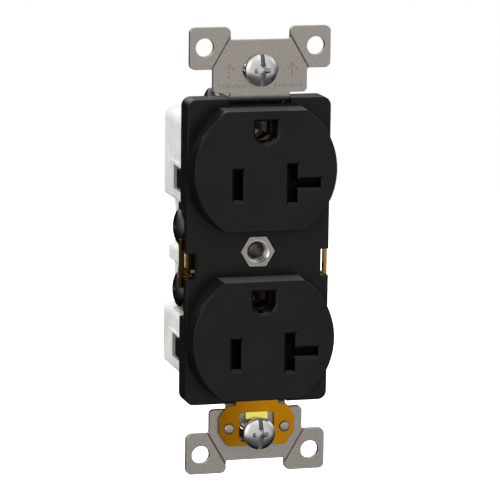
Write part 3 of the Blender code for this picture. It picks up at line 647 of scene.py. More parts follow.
def add(part, *others):
    return boolean(part, others, "UNION")


def cut(part, *others):
    return boolean(part, others, "DIFFERENCE")


def finish_piece(part, name, slot, node, body="outlet", smooth=30):
    """Names a piece, moves it into the frame, gives it its slot's material, ties it to its body
    and hides the CAD node it replaces.
    """
    part.name = name
    part.data.name = name
    part.data.transform(Matrix.Translation(STRAP_FRONT))
    part.data.materials.clear()
    part.data.materials.append(MATERIALS[slot])
    part.data.shade_smooth()
    part.data.set_sharp_from_angle(angle=math.radians(smooth))
    normals = part.modifiers.new("even_shading", "WEIGHTED_NORMAL")
    normals.keep_sharp = True
    normals.weight = 100
    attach(part, body)
    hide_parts(node)
    return part


def second_look(part, slot, test):
    """Gives the polygons that pass test(centre in strap mm, normal) a second material."""
    part.data.materials.append(MATERIALS[slot])
    index = len(part.data.materials) - 1
    for polygon in part.data.polygons:
        if test((polygon.center - STRAP_FRONT) / MM, polygon.normal):
            polygon.material_index = index


# ------------------------------------------------------------------ black front housing
def face_outline(radius, half_height, z, steps=44):
    """Circle with its top and bottom cut flat."""
    t = math.degrees(math.asin(half_height / radius))
    return arc(0, z, radius, -t, t, steps) + arc(0, z, radius, 180 - t, 180 + t, steps)


def raised_face(z):
    round_r = .22
    rings = [(face_outline(FACE_FOOT_R, FACE_FOOT_H, z), 1.0),
             (face_outline(FACE_R, FACE_H, z), FACE_Y + round_r)]
    for i in range(1, 5):
        a = i / 4 * math.pi / 2
        inset = round_r * (1 - math.cos(a))
        rings.append((face_outline(FACE_R - inset, FACE_H - inset, z),
                      FACE_Y + round_r * (1 - math.sin(a))))
    return stack(rings)


def hot_slot(face_z, grow):
    z = face_z + BLADE_DZ
    return rectangle(-BLADE_X - SLOT_HALF_W - grow, -BLADE_X + SLOT_HALF_W + grow,
                     z - HOT_HALF_H - grow, z + HOT_HALF_H + grow)


def neutral_slot(face_z, grow):
    """T lying on its side, with its stem towards +X."""
    z = face_z + BLADE_DZ
    x0, x1 = BLADE_X - SLOT_HALF_W - grow, BLADE_X + SLOT_HALF_W + grow
    end, stem, bar = NEUTRAL_END + grow, SLOT_HALF_W + grow, NEUTRAL_HALF_H + grow
    return [(x0, z - bar), (x1, z - bar), (x1, z - stem), (end, z - stem),
            (end, z + stem), (x1, z + stem), (x1, z + bar), (x0, z + bar)]


def ground_hole(face_z, grow):
    """Half circle below, square above."""
    z, radius = face_z + GROUND_DZ, 2.7 + grow
    top = z + 2.65 + grow
    return [(-radius, top)] + arc(0, z - .02, radius, 180, 360, 30) + [(radius, top)]


def chamfered_opening(outline, face_z, chamfer, end=4):
    small, wide = loop_of(outline(face_z, 0)), loop_of(outline(face_z, chamfer))
    return stack([(wide, FACE_Y - 1), (wide, FACE_Y - 1e-4),
                  (small, FACE_Y + chamfer), (small, FACE_Y + end)])


def cut_face_openings(body, face_z):
    ground_z = face_z + GROUND_DZ
    # hollow behind the face, with a collar behind the grounding hole
    cut(body, prism(face_outline(14.9, 12.0, face_z, 24), FACE_Y + 2.2, 3.0))
    add(body, box((-3.3, 3.3), (FACE_Y + 2.1, -.28), (ground_z - 2.66, ground_z + 3.3)))
    cut(body, chamfered_opening(hot_slot, face_z, .52),
        chamfered_opening(neutral_slot, face_z, .52),
        chamfered_opening(ground_hole, face_z, .42, end=3.8),
        prism(ground_hole(face_z, -.55), -3.0, .5))


def front_housing():
    body = soft(rounded_box(-BODY_W, BODY_W, -BODY_H, BODY_H, 2.0, 12), 0, BODY_DEPTH,
                "Y", .26, .08, 4)
    for side in (1, -1):
        add(body, raised_face(side * FACE_Z))
    cut(body, prism(rounded_box(-15.1, 15.1, -33.45, 33.45, 1.6), BODY_FLOOR, 9))
    # central boss with a hexagonal hole
    add(body, prism(circle(0, 0, 6.2, 48), 1.6, 6.0))
    cut(body, bore(hexagon(HEX_POCKET_R), 0, 6.0, "Y", .12, 0, 2, 3))
    for side in (1, -1):
        cut_face_openings(body, side * FACE_Z)
    for side in (1, -1):
        # notch in the end wall, notch and long relief in the side wall
        notch_x = 14.86 if side > 0 else 14.25
        cut(body, box((-7.3, 7.3), (-1, 9), span(side, 33.8, 40)))
        cut(body, box(span(side, notch_x, 20), (-1, 9), (-6.05, .1), .12))
        cut(body, box(span(side, 14.5, 20), (2.4, 9), (-15.3, 9.8)))
        # latches: a tongue with an inward hook at its back end
        hook = [(15.65, 9.7), (15.65, 8.9), (16.0, 8.3), (16.3, 8.3), (16.3, 9.7)]
        for z in LATCH_Z:
            add(body, box(span(side, 15.95, BODY_W), (4.5, 9.7), (z - 2.1, z + 2.1)))
            add(body, prism([(side * x, y) for x, y in hook], z - 2.1, z + 2.1, "Z"))
    finish_piece(body, "front_housing_shell", "black_plastic", "front_housing", smooth=32)


# ------------------------------------------------------------------ steel strap
def strap_end(side):
    """Plate and two ears beyond one end of the housing."""
    # (x, z, corner radius) from the neck outwards and up
    corners = [(NECK_X, PLATE_LOW - .35, 0), (NECK_X + .03, PLATE_LOW + .01, 0),
               (PLATE_X, PLATE_LOW, 1.0), (PLATE_X, EAR_LOW, .5), (EAR_X, EAR_LOW, 1.3),
               (EAR_X, EAR_Z, 1.3), (EAR_IN, EAR_Z, 1.3), (EAR_IN, PLATE_TOP, .4)]
    corners += [(-x, z, radius) for x, z, radius in reversed(corners)]
    end = soft([(x, side * z) for x, z in rounded(corners, 8)], 0, STRAP_T, "Y", .1, .1, 2)
    z = side * MOUNT_Z
    holes = [circle(across * EAR_HOLE_X, side * EAR_HOLE_Z, EAR_HOLE_R, 48)
             for across in (1, -1)]
    holes.append(arc(2.1, z, 2.05, -90, 90, 16) + arc(-2.1, z, 2.05, 90, 270, 16))
    return cut(end, *[bore(hole, 0, STRAP_T, "Y", .09, .09, 2) for hole in holes])


def strap_leg():
    """Strip inside the housings, widened to discs at the grounding holes and the centre."""
    half_width = 3.2
    upper, lower = FACE_Z + GROUND_DZ, -FACE_Z + GROUND_DZ
    side = [(half_width, -33.75)]
    for z, radius in ((lower, 5.3), (0, 5.0), (upper, 5.3)):
        t = math.degrees(math.acos(half_width / radius))
        side += arc(0, z, radius, -t, t, 24)
    side.append((half_width, 33.75))
    leg = soft(side + [(-x, z) for x, z in reversed(side)], *LEG_Y, "Y", .08, .08, 2)
    cut(leg, *[prism(circle(0, z, radius), 5, 9)
               for z, radius in ((upper, 3.0), (lower, 3.0), (0, 3.15))])
    return cut(leg, *[prism(circle(0, z + up * GROUND_RIVET_DZ, .85, 20), 5, 9)
                      for z in (upper, lower) for up in (1, -1)])


def ground_screw_tab():
    outline = rounded([(6.9, 35.5, 0), (15.0, 35.5, 0), (15.0, 28.4, 1.5), (6.9, 28.4, 1.0)], 8)
    tab = soft(outline, -7.02, -5.6, "X", .08, .08, 2)
    return cut(tab, prism(circle(GROUND_SCREW.y, GROUND_SCREW.z, 2.15), -8, -5, "X"))


def score_line(across, up):
    """V-shaped groove in the front surface between the plate and an ear."""
    a, b = Vector((across * 6.6, up * 50.1)), Vector((across * 11.85, up * 40.95))
    along = (b - a).normalized()
    normal = Vector((-along.y, along.x))
    wide, thin = [ccw([a + normal * half, b + normal * half, b - normal * half,
                       a - normal * half]) for half in (.21, .02)]
    return stack([(wide, -.02), (thin, .34)])


def stamped_marks():
    """An upward arrow each side of the top screw and a row of ticks below each."""
    marks = []
    for side in (-1, 1):
        x = side * 7.4
        marks.append(rectangle(x - .12, x + .12, 39.7, 42.9))
        marks.append([(x, 43.25), (x - 1.25, 41.75), (x - 1.07, 41.6), (x, 42.9),
                      (x + 1.07, 41.6), (x + 1.25, 41.75)])
        for i in range(13):
            x = side * (3.4 + .52 * i)
            marks.append(rectangle(x - .06, x + .06, 37.75, 38.15 + .35 * (i % 4 == 0)))
    return [stack([(offset(ccw(mark), -.03), -.05), (offset(ccw(mark), .03), .11)])
            for mark in marks]


def strap():
    steel = strap_end(1)
    add(steel, strap_end(-1))
    leg_mid = sum(LEG_Y) / 2
    for side in (1, -1):
        # bend that steps back from the plate to the leg
        path = [(STRAP_T / 2, side * (PLATE_LOW + .57), 0), (STRAP_T / 2, side * SHELF_Z, .95),
                (leg_mid, side * SHELF_Z, .95), (leg_mid, side * 33.4, 0)]
        add(steel, sheet(path, STRAP_T - .02, -NECK_X + .02, NECK_X - .02, edge=.07, steps=10))
    add(steel, strap_leg())
    add(steel, ground_screw_tab(),
        box((-6.9, -3.4), (7.1, 14.8), (SHELF_Z - .6, SHELF_Z + .6), .05, 1))
    for across in (1, -1):
        cut(steel, prism(circle(across * CLIP_RIVET_X, CLIP_RIVET_Z, .8, 24), -1, 3))
    for across in (1, -1):
        for up in (1, -1):
            cut(steel, score_line(across, up))
    cut(steel, *stamped_marks())
    finish_piece(steel, "strap_plate", "plated_steel", "mounting_strap", smooth=28)
    # painted shade: the strap's leg behind the housing takes the darkened bronze
    second_look(steel, "bronze", lambda p, n: p.y > 6.3 and abs(p.z) < 31)


# ------------------------------------------------------------------ white rear housing
def rear_block(half_width, z0, z1, low_r, high_r, start=REAR_START, back=REAR_BACK):
    corners = [(-half_width, z0, low_r), (half_width, z0, low_r),
               (half_width, z1, high_r), (-half_width, z1, high_r)]
    return soft(rounded(corners, 9), start, back, "Y", .12, .5, 5)


def rear_body():
    middle = [(-15.25, -5.0, .3), (15.25, -5.0, .3), (15.25, -1.3, .9), (-15.25, -1.3, .9)]
    rear = rear_block(13.85, -27, 29, 1.0, 1.0, REAR_START + .03, REAR_BACK - .04)
    return add(rear, rear_block(REAR_W, 10.4, 30.9, .6, 2.75),
               rear_block(REAR_W, -29.5, -15.3, 1.2, 1.9),
               soft(rounded(middle, 5), 7.7, REAR_BACK - .08, "Y", .1, .26, 3),
               soft(rounded_box(-4.95, 4.95, 25, 34.0, .6, 5), REAR_START + .05, 18.6,
                    "Y", .1, .5, 4))


def latch_frames(rear):
    """Raised border and pocket at each latch."""
    half = 4.15
    for side in (1, -1):
        for z, border_z in zip(LATCH_Z, (15.35, -24.2)):
            low, high = border_z - half, border_z + half
            border = rounded([(6.5, low, 0), (17.6, low, 2.2),
                              (17.6, high, 2.2), (6.5, high, 0)], 10)
            add(rear, soft(border, *span(side, 15.9, 16.75), "X", *(.01, .25)[::side], 4))
            cut(rear, box(span(side, 14.35, 18), (5, 12.6), (z - 2.75, z + 2.75), .12))


def contact_pockets(rear):
    for face_z in (FACE_Z, -FACE_Z):
        blade_z, ground_z = face_z + BLADE_DZ, face_z + GROUND_DZ
        blade_span = (blade_z - 3.75, blade_z + 3.75)
        ground_top = ground_z + (5.5 if face_z < 0 else 8)
        cut(rear, box((-9.9, -4.15), (5, 18.0), blade_span),
            box((4.15, 13.0), (5, 18.0), blade_span),
            box((-3.9, 3.9), (5, 17.2), (ground_z - 5.5, ground_top)))
        cut(rear, prism(circle(0, ground_z, 5.75), 5, 8.35))
    # bed for the strap's leg, and the central hole
    cut(rear, box((-3.55, 3.55), (5, 8.35), (-40, 40)), prism(circle(0, 0, 5.45), 5, 8.35),
        prism(circle(0, 0, 3.4, 36), 5, 10.4), prism(circle(0, 0, 2.2, 28), 9, 16.0))


def terminal_pockets(rear):
    for side in (1, -1):
        cut(rear, box(span(side, 7.0, 17.5), (5, 7.75), (-15.9, 10.1)),
            box(span(side, 7.0, 10.1), (5, 7.75), (-26.4, 20.1)))
        for z in TERMINALS_Z:
            cut(rear, box(span(side, 9.7, 17.5), (6, 16.4), (z - 5.6, z + 5.6), .15))
            cut(rear, prism(circle(TERMINAL_Y, z, 2.4, 30), *span(side, 8.6, 12), "X"))
            # holes through the back, above and below the screw
            for up in (1, -1):
                cut(rear, bore(circle(side * 12.35, z + up * 3.1, 1.25, 28), 15, REAR_BACK,
                               "Y", 0, .42, 4))
    # pocket and hole for the ground screw, and room for the strap's upper bend
    cut(rear, box((-12.6, -5.3), (5, 15.6), (27.6, 34)),
        prism(circle(GROUND_SCREW.y, GROUND_SCREW.z, 2.4, 28), -6, -3.5, "X"),
        box((-7.4, 7.4), (5, 8.35), (33.1, 36)))


def back_recesses(rear):
    """Shallow recesses in the back: a slot, two panels, eight discs and three short bars."""
    beyond = REAR_BACK + 1
    cut(rear, soft(rounded_box(-7.5, 7.5, -3.9, -2.3, .5), REAR_BACK - .5, beyond,
                   "Y", .15, 0, 3))
    for z0, z1 in ((13.2, 27.6), (-26.0, -17.6)):
        cut(rear, soft(rounded_box(-9.2, 9.2, z0, z1, 1.4, 8), REAR_BACK - .28, beyond,
                       "Y", .12, 0, 3))
    for x in (-11.9, 11.9):
        for z in (27.2, 12.9, -18.4, -26.0):
            cut(rear, prism(circle(x, z, 1.15, 28), REAR_BACK - .12, beyond))
    for z in (9.2, .6, -6.6):
        cut(rear, soft(rounded_box(-2.4, 2.4, z - .45, z + .45, .4), REAR_BACK - .35, beyond,
                       "Y", .1, 0, 2))


def rear_housing():
    rear = rear_body()
    latch_frames(rear)
    contact_pockets(rear)
    terminal_pockets(rear)
    back_recesses(rear)
    finish_piece(rear, "back_housing_shell", "white_plastic", "rear_housing", smooth=28)
    # the latch borders take the darker, rougher copy of the off-white plastic
    second_look(rear, "white_darker_satin", lambda p, n: abs(p.x) > REAR_W + .06)
    # painted shade in the latch pockets
    second_look(rear, "white_recess_painted_shade", lambda p, n: (
        14.2 < abs(p.x) < 16.72 and 5 < p.y < 12.7
        and any(abs(p.z - z) < 2.8 for z in LATCH_Z)))


# ------------------------------------------------------------------ small front hardware
def insert():
    """Hexagonal insert with a countersunk, tapped bore."""
    low, high = extent("cover_screw_insert")
    across_flats = high.z - low.z
    corner_r = (across_flats / 2) / math.cos(math.radians(30))
    part = soft(hexagon(corner_r), 0, 6.3, "Y", .14, .05, 3)
    add(part, prism(circle(0, 0, 2.8), 5.0, high.y))
    # (radius, y) down the bore
    profile = [(2.74, -.6), (2.66, -.01), (2.53, .12), (2.22, .60), (1.86, 1.15),
               (1.55, 1.75), (1.42, 2.1), (1.40, high.y - .8)]
    cut(part, stack([(circle(0, 0, radius, 48), y) for radius, y in profile]))
    rows = [(height - 2.15, radius)
            for height, radius in thread_rows(0, -6.4, root=1.34, crest=1.47, run=.5)]
    cut(part, lay(lathe(rows, 28), "-Y", (0, 0, 0)))
    finish_piece(part, "cover_screw_hex_insert", "plated_steel", "cover_screw_insert")
    second_look(part, "cut_steel", lambda p, n: (
        math.hypot(p.x, p.z) < 2.9 and n.y > -.97 and p.y < high.y - .1))


def clip():
    """Spring clip around the lower mounting screw."""
    low, high = extent("grounding_clip")
    # (x, z, corner radius) down the +X edge
    edge = [(4.99, -34.5, 0), (4.99, -35.38, .25), (7.1, -35.6, .6), (8.9, -38.25, .6),
            (8.9, -41.9, .6), (6.9, -44.95, .7)]
    outline = rounded([(-x, z, radius) for x, z, radius in edge] + edge[::-1])
    part = soft(outline, low.y, high.y, "Y", .06, .06, 2)
    window = rounded_box(-4.1, 4.1, -43.9, -37.15, 1.0, 7)
    cut(part, bore(window, low.y, high.y, "Y", .06, .06, 2))
    for side in (1, -1):
        x = side * CLIP_RIVET_X
        cut(part, bore(circle(x, CLIP_RIVET_Z, 1.28, 32), low.y, low.y + .12, "Y", 0, 0))
        cut(part, prism(circle(x, CLIP_RIVET_Z, .8, 28), -2, 1))
    # finger bent forward over the window
    finger = [(-.33, -36.7, 0), (-.33, -37.0, .25), (-.72, -38.75, 0)]
    add(part, sheet(finger, .26, -2.6, 2.6, edge=.05, steps=5))
    finish_piece(part, "ground_spring_clip", "amber_brass", "grounding_clip", smooth=28)
    # painted highlight on the clip's bent finger
    second_look(part, "brass_painted_highlight", lambda p, n: (
        abs(p.x) < 2.62 and -38.9 < p.z < -36.6 and p.y > -.84 and n.y > -.99))


CLIP_RIVET = [  # height, radius
    (.46, .02), (.455, .6), (.43, .86), (.37, 1.02), (.28, 1.11), (.18, 1.15), (.02, 1.15),
    (0, 1.13), (-.001, .66), (-2.349, .66), (-2.35, 1.08), (-2.55, 1.1), (-2.8, .95),
    (-2.94, .6), (-2.95, .05)]


def rivets():
    for side, word in ((-1, "left"), (1, "right")):
        node = f"clip_rivet_{word}"
        rivet = lay(lathe(CLIP_RIVET, 32), "-Y", (side * CLIP_RIVET_X, -.95, CLIP_RIVET_Z))
        finish_piece(rivet, f"{node}_turned", "plated_steel", node, smooth=40)


# ------------------------------------------------------------------ screws
def drive_cut(head, top, width, length, depth, arm, arm_width, cross_depth, along):
    """Cuts a straight slot with a tapered cross in its middle; length and arm are half sizes."""
    rings = []
    for narrow, long, height in ((width / 2, length, top - depth),
                                 (width / 2 + .06, length + .1, top + 1)):
        x, y = (narrow, long) if along == "Y" else (long, narrow)
        rings.append((rectangle(-x, x, -y, y), height))
    cut(head, stack(rings, "Z"))

    def cross(reach, half, notch):
        points = []
        for quarter in range(4):
            turn = Matrix.Rotation(quarter * math.pi / 2, 2)
            for p in ((reach, -half), (reach, half), (notch, notch)):
                points.append(tuple(turn @ Vector(p)))
        return points
    cut(head, stack([(cross(arm * 1.2, arm_width * 1.12, arm_width * 1.6), top + .8),
                     (cross(arm, arm_width, arm_width * 1.35), top - .25),
                     (cross(arm * .38, arm_width * .55, arm_width * .6), top - cross_depth)],
                    "Z"))


MOUNT_HEAD = [  # height, radius
    (MOUNT_HEAD_H, .02), (2.285, .6), (2.24, 1.2), (2.15, 1.75), (2.02, 2.25), (1.85, 2.7),
    (1.66, 3.06), (1.44, 3.36), (1.26, 3.54), (1.2, 3.55), (1.16, 3.62), (1.08, 3.68),
    (.9, 3.7), (.2, 3.7), (.08, 3.66), (0, 3.55), (-.001, 1.75), (-.35, 1.36)]
MOUNT_TIP = [(-18.4, 1.33), (-18.85, 1.05), (-19.0, .7), (-19.0, .05)]


def mounting_screws():
    for word in ("top", "bottom"):
        node = f"mounting_screw_{word}"
        low, high = extent(node)
        seat_y = low.y + MOUNT_HEAD_H
        thread = thread_rows(-.45, -18.3, root=1.34, crest=1.71, run=.8)
        screw = lathe(MOUNT_HEAD + thread + MOUNT_TIP, 40)
        drive_cut(screw, MOUNT_HEAD_H, width=.95, length=3.62, depth=1.25,
                  arm=1.95, arm_width=.48, cross_depth=2.0, along="Y")
        lay(screw, "-Y", (0, seat_y, (low.z + high.z) / 2))
        finish_piece(screw, f"{node}_threaded", "bright_steel", node, f"mounting_{word}", 34)
        # floor of the slot
        second_look(screw, "slot_steel", lambda p, n: (
            seat_y - 1.1 < p.y < seat_y - .95 and n.y < -.9 and abs(p.x) < .55))


def side_screw(node, side, body, slot, rim_rows, thread_end, tip, slot_length):
    """Flat-headed screw driven from a side; rim_rows complete the head."""
    low, high = extent(node)
    place = center(node)
    seat_x = low.x + SIDE_HEAD_H if side < 0 else high.x - SIDE_HEAD_H
    crown = [(SIDE_HEAD_H, .02), (1.89, .7), (1.84, 1.4), (1.72, 2.1)]
    neck = [(-.001, 1.98), (-.3, 1.6)]
    thread = thread_rows(-.4, thread_end, root=1.58, crest=1.94, run=.6)
    screw = lathe(crown + rim_rows + neck + thread + tip, 40)
    drive_cut(screw, SIDE_HEAD_H, width=1.05, length=slot_length, depth=1.05,
              arm=1.7, arm_width=.45, cross_depth=1.9, along="X")
    lay(screw, "-X" if side < 0 else "+X", (seat_x, place.y, place.z))
    finish_piece(screw, f"{node}_threaded", slot, node, body, 34)


def side_screws():
    for name, side, slot in (("hot", -1, "dark_steel"), ("neutral", 1, "bright_steel")):
        for word in ("upper", "lower"):
            node = f"{name}_terminal_screw_{word}"
            low, high = extent(node)
            r = (high.z - low.z) / 2
            rim_rows = [(1.52, 2.75), (1.24, 3.4), (.92, 3.9), (.62, r - .06), (.5, r),
                        (.22, r), (.08, r - .07), (0, r - .2)]
            side_screw(node, side, f"{name}_screw_{word}", slot, rim_rows, thread_end=-5.0,
                       tip=[(-5.1, 1.55), (-5.5, 1.2), (-5.6, .9), (-5.6, .05)],
                       slot_length=3.6)
    rim_rows = [(1.50, 2.75), (1.2, 3.35), (.9, 3.8), (.6, 4.05), (.45, 4.1), (.22, 4.1),
                (.08, 4.03), (0, 3.9)]
    side_screw("ground_screw", -1, "ground_screw_body", "dark_steel", rim_rows, thread_end=-3.6,
               tip=[(-3.7, 1.55), (-3.95, 1.3), (-4.05, 1.0), (-4.05, .05)], slot_length=3.5)


# ------------------------------------------------------------------ plates under the screws
def clamp_plate(node, side, body):
    low, high = extent(node)
    z = (low.z + high.z) / 2
    part = soft(rounded_box(low.y, high.y, low.z, high.z, .7), low.x, high.x, "X", .1, .1, 2)
    cut(part, prism(circle(TERMINAL_Y, z, 2.1, 36), low.x - 1, high.x + 1, "X"))
    # V grooves across the outer face, above and below the screw
    outer = high.x if side > 0 else low.x
    for up in (-1, 1):
        groove_z = z + up * 3.1
        cut(part, prism([(outer + side * .1, groove_z - .5), (outer + side * .1, groove_z + .5),
                         (outer - side * .28, groove_z)], low.y - 1, high.y + 1, "Z"))
    finish_piece(part, f"{node}_pressed", "plated_steel", node, body)


def ground_washer():
    node = "ground_wire_washer"
    low, high = extent(node)
    part = soft(rounded_box(low.y, high.y, low.z, high.z, .6), low.x, high.x, "X", .1, .1, 2)
    cut(part, bore(circle(GROUND_SCREW.y, GROUND_SCREW.z, 2.15, 36), low.x, high.x,
                   "X", .08, .08, 2))
    finish_piece(part, f"{node}_pressed", "plated_steel", node, "ground_washer")


def retainer(word):
    node = f"screw_retainer_{word}"
    low, high = extent(node)
    part = soft(rounded_box(low.x, high.x, low.z, high.z, .8), low.y, high.y, "Y", .06, .06, 2)
    cut(part, prism(circle(0, center(node).z, 1.88, 32), low.y - 1, high.y + 1))
    finish_piece(part, f"{node}_punched", "fibre", node, f"retainer_{word}")


def plates():
    for name, side in (("hot", -1), ("neutral", 1)):
        for word in ("upper", "lower"):
            clamp_plate(f"{name}_clamp_plate_{word}", side, f"{name}_clamp_{word}")
    ground_washer()
    for word in ("top", "bottom"):
        retainer(word)


# ------------------------------------------------------------------ contacts
BUS_ENDS = (  # screw z, plate z range, bridge z range, blade z, foot z inner and outer
    (TERMINALS_Z[0], (-.9, 9.6), (-.35, 1.9), FACE_Z + BLADE_DZ, (-4.9, 9.5)),
    (TERMINALS_Z[1], (-15.4, -5.7), (-7.3, -5.75), -FACE_Z + BLADE_DZ, (-5.75, -15.3)),
)
BUS_FORK = [  # x, y round both leaves
    (8.2, 6.65), (8.2, 7.6), (7.95, 8.6), (7.95, 17.2), (4.75, 17.2), (4.75, 8.6), (4.4, 7.6),
    (5.0, 7.45), (5.45, 8.5), (5.45, 16.5), (7.25, 16.5), (7.25, 8.6), (7.6, 7.3), (7.6, 6.65)]


def bus(name, side):
    """Contact bus: outer tab, and for each face a bridge, screw plate, foot and blade fork."""
    node = f"{name}_contact_bus"
    part = soft(rounded_box(3.3, 5.0, -8.4, 2.8, .25, 4), *span(side, 16.55, 17.35),
                "X", .1, .1, 2)
    link_x = span(side, 14.1, 14.8 if side > 0 else 15.05)
    for y_range in ((6.85, 7.75), (8.5, 9.6)):
        add(part, box(link_x, y_range, (-6.4, -.2)))
    if side < 0:
        add(part, box(span(side, 16.35, 16.6), (3.45, 4.85), (-5.6, -.5), .04, 1))
    for screw_z, (z0, z1), bridge, blade_z, (foot_in, foot_out) in BUS_ENDS:
        add(part, box(span(side, 14.1, 17.3), (3.4, 4.2), bridge, .05, 1),
            box(span(side, 14.12, 14.78), (3.45, 7.3), (bridge[0] + .04, bridge[1] - .04)))
        plate = soft(rounded([(7.15, z0, .6), (15.5, z0, .6), (15.5, z1, .6), (7.15, z1, .6)]),
                     *span(side, 14.05, 14.85), "X", .08, .08, 2)
        cut(plate, prism(circle(TERMINAL_Y, screw_z, 2.2, 36), *span(side, 13, 16), "X"))
        add(part, plate)
        far = blade_z + (3.1 if blade_z > 0 else -3.1)
        foot = [(14.8, foot_in), (14.8, foot_out), (9.9, foot_out), (9.9, far),
                (7.35, far), (7.35, foot_in)]
        add(part, prism([(side * x, z) for x, z in foot], 6.6, 7.4))
        add(part, soft([(side * x, y) for x, y in BUS_FORK], blade_z - 3.0, blade_z + 3.0,
                       "Z", .05, .05, 1))
        if side > 0:
            # sideways fork behind the stem of the T slot
            add(part, box((7.5, 12.5), (16.55, 17.15), (blade_z - 2.0, blade_z + 2.0)))
            cut(part, box((6.2, 13), (5, 16.45), (blade_z - 1.1, blade_z + 1.1)))
            for up in (1, -1):
                leaf_z = sorted((blade_z + up * 1.15, blade_z + up * 1.8))
                add(part, box((8.6, 12.35), (8.2, 17.0), leaf_z))
    finish_piece(part, f"{node}_stamped", "brass", node)
    if side < 0:
        second_look(part, "dark_brass", lambda p, n: n.y < -.5 and p.x < -16.2)


GROUND_LEAF = [  # x, y
    (3.4, 8.4), (3.4, 9.6), (2.95, 12.9), (2.85, 13.9), (2.9, 14.6), (3.45, 16.3),
    (2.95, 16.45), (2.35, 14.8), (2.3, 13.8), (2.42, 12.7), (2.84, 9.5), (2.84, 8.4)]
GROUND_LIP = [  # x, y
    (2.37, 2.7), (2.7, 2.8), (2.71, 7.0), (2.72, 8.7), (2.4, 8.7), (2.385, 7.0)]
GROUND_RIVET = [  # height, radius
    (.33, .02), (.32, .5), (.26, .85), (.12, 1.12), (.02, 1.2), (0, 1.15), (-.001, .7),
    (-2.419, .7), (-2.42, 1.12), (-2.6, 1.05), (-2.78, .7), (-2.8, .05)]


def ground_contacts():
    for word in ("upper", "lower"):
        node = f"ground_contact_{word}"
        z = center(node).z
        part = soft(rounded_box(-3.5, 3.5, z - 5.15, z + 5.15, .8, 5), 8.15, 8.9,
                    "Y", .08, .08, 2)
        cut(part, prism(circle(0, z, 2.9), 7, 10),
            *[prism(circle(0, z + up * GROUND_RIVET_DZ, .85, 20), 7, 10) for up in (1, -1)])
        for side in (1, -1):
            add(part, soft([(side * x, y) for x, y in GROUND_LEAF], z - 1.9, z + 1.9,
                           "Z", .06, .06, 2))
            # lips that reach forward through the strap
            add(part, soft([(side * x, y) for x, y in GROUND_LIP], z - 1.5, z + 1.5,
                           "Z", .04, .04, 1))
        # the contacts and their rivets take bronze darkened as painted shade
        finish_piece(part, f"{node}_formed", "bronze", node)
        second_look(part, "plated_steel", lambda p, n: p.y < 6.9 and abs(p.x) > 2.3)
        for up, tag in ((1, "a"), (-1, "b")):
            node = f"ground_rivet_{word}_{tag}"
            rivet = lay(lathe(GROUND_RIVET, 24), "-Y", (0, 6.56, z + up * GROUND_RIVET_DZ))
            finish_piece(rivet, f"{node}_turned", "bronze", node, smooth=40)


def springs():
    """Shutter springs: a coil along X for each slider and one along Z for each arm."""
    wire = .16
    for word in ("upper", "lower"):
        node = f"slider_spring_{word}"
        low, high = extent(node)
        c = (low + high) / 2
        radius = min(high.z - low.z, high.y - low.y) / 2 - wire
        coil = helix("X", (c.y, c.z), radius, wire, low.x, high.x)
        finish_piece(coil, f"{node}_coil", "bright_steel", node, smooth=60)
        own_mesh(coil)
        # the arm spring has the slider spring's radius
        node = f"arm_spring_{word}"
        low, high = extent(node)
        c = (low + high) / 2
        coil = helix("Z", (c.x, c.y), radius, wire, low.z, high.z)
        finish_piece(coil, f"{node}_coil", "brass", node, smooth=60)
        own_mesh(coil)


front_housing()
strap()
rear_housing()
insert()
clip()
rivets()
mounting_screws()
side_screws()
plates()
bus("hot", -1)
bus("neutral", 1)
ground_contacts()
springs()

# ------------------------------------------------------------------ stage
# Curves of (position, brightness); position 0 is -Z or -Y and 1 is +Z or +Y.
UP_CURVE = [(0.0, .12), (.27, .18), (.335, .55), (.385, 1.14), (.44, 1.05), (.50, 1.12),
            (.64, 1.05), (1.0, 1.2)]
DEPTH_CURVE = [(0.0, .88), (.13, .84), (.26, .52), (.38, .22), (.50, .05), (1.0, .012)]
BACK_CURVE = [(.60, 0.0), (.72, .6), (.85, 1.0), (1.0, 1.0)]
HORIZON_CURVE = [(.575, 0.0), (.602, .08), (.626, .9), (.68, 1.0), (1.0, .9)]
BACK_POWER = 1.35
# soft lamps: direction, tightness (exponent), strength
LOBES = [((-.93, -.05, .33), 6, 2.3), ((.10, -.30, 1.0), 6, 1.15), ((.89, .02, .45), 14, 1.3)]


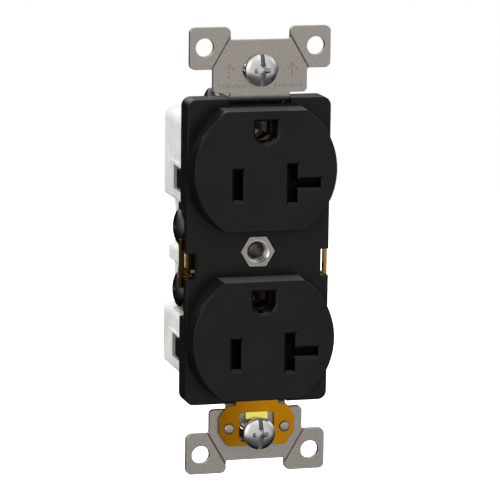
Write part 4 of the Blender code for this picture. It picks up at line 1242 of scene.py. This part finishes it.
def studio_world():
    """Soft studio light; the camera itself sees plain white."""
    world = bpy.data.worlds.new("studio")
    bpy.context.scene.world = world
    world.use_nodes = True
    sky = NodeTree(world.node_tree)
    sky.tree.nodes.clear()

    def curve(axis, stops):
        position = sky.math("ADD", sky.math("MULTIPLY", axis, .5), .5)
        return sky.ramp(position, [(at, (v, v, v)) for at, v in stops], "B_SPLINE")

    coord = sky.node("ShaderNodeTexCoord").outputs["Generated"]
    direction = sky.node("ShaderNodeVectorMath", {0: coord}, operation="NORMALIZE").outputs[0]
    axes = sky.split(direction)
    total = sky.math("MULTIPLY", curve(axes["Z"], UP_CURVE), curve(axes["Y"], DEPTH_CURVE))
    back = sky.math("MULTIPLY", curve(axes["Y"], BACK_CURVE), curve(axes["Z"], HORIZON_CURVE))
    total = sky.math("ADD", total, sky.math("MULTIPLY", back, BACK_POWER))
    for towards, tightness, strength in LOBES:
        facing = sky.math("MAXIMUM", sky.dot(direction, Vector(towards).normalized()), 0.0)
        lobe = sky.math("MULTIPLY", sky.math("POWER", facing, tightness), strength)
        total = sky.math("ADD", total, lobe)
    white = sky.node("ShaderNodeBackground", {"Strength": 1.0, "Color": (1, 1, 1)})
    studio = sky.node("ShaderNodeBackground", {"Strength": total, "Color": (1.0, .995, .985)})
    from_camera = sky.node("ShaderNodeLightPath").outputs["Is Camera Ray"]
    mix = sky.node("ShaderNodeMixShader")
    output = sky.node("ShaderNodeOutputWorld")
    for source, socket in ((from_camera, mix.inputs[0]), (studio.outputs[0], mix.inputs[1]),
                           (white.outputs[0], mix.inputs[2]),
                           (mix.outputs[0], output.inputs["Surface"])):
        sky.tree.links.new(source, socket)


def make_floor():
    """Pale floor well below the outlet, hidden from all but the camera."""
    bm = bmesh.new()
    bmesh.ops.create_grid(bm, x_segments=8, y_segments=8, size=5.0)
    mesh = bpy.data.meshes.new("floor")
    bm.to_mesh(mesh)
    bm.free()
    floor = bpy.data.objects.new("floor", mesh)
    bpy.context.scene.collection.objects.link(floor)
    floor.location = (0, .6, -1.0)
    look = Material("pale_floor")
    cloud = look.noise(6, roughness=.5)
    look.feed(look.shader, {
        "Base Color": look.ramp(cloud, [(.3, (.90, .90, .90)), (.7, (.93, .93, .93))]),
        "Roughness": .8, "Emission Color": (1, 1, 1), "Emission Strength": .9})
    mesh.materials.append(look.material)
    floor.visible_diffuse = False
    floor.visible_glossy = False
    floor.visible_transmission = False
    floor.visible_shadow = False


def make_camera():
    """Long lens, aimed at a point near the middle of the strap from the left and above."""
    camera = bpy.data.cameras.new("camera")
    camera.lens = 244.37
    camera.sensor_width = 36
    camera.clip_start = .05
    camera.clip_end = 10
    holder = bpy.data.objects.new("camera", camera)
    bpy.context.scene.collection.objects.link(holder)
    azimuth, elevation, roll = (math.radians(v) for v in (-15.393, 10.661, .729))
    target, distance = Vector((-.001908, STRAP_Y, .000483)), .770247
    back = Vector((math.sin(azimuth) * math.cos(elevation),
                   -math.cos(azimuth) * math.cos(elevation), math.sin(elevation)))
    right = Vector((math.cos(azimuth), math.sin(azimuth), 0))
    up = back.cross(right)
    rolled_right = math.cos(roll) * right + math.sin(roll) * up
    rolled_up = -math.sin(roll) * right + math.cos(roll) * up
    matrix = Matrix((rolled_right, rolled_up, back)).transposed().to_4x4()
    matrix.translation = target + back * distance
    holder.matrix_world = matrix
    bpy.context.scene.camera = holder


bpy.context.scene.view_settings.view_transform = "Standard"
studio_world()
make_floor()
make_camera()
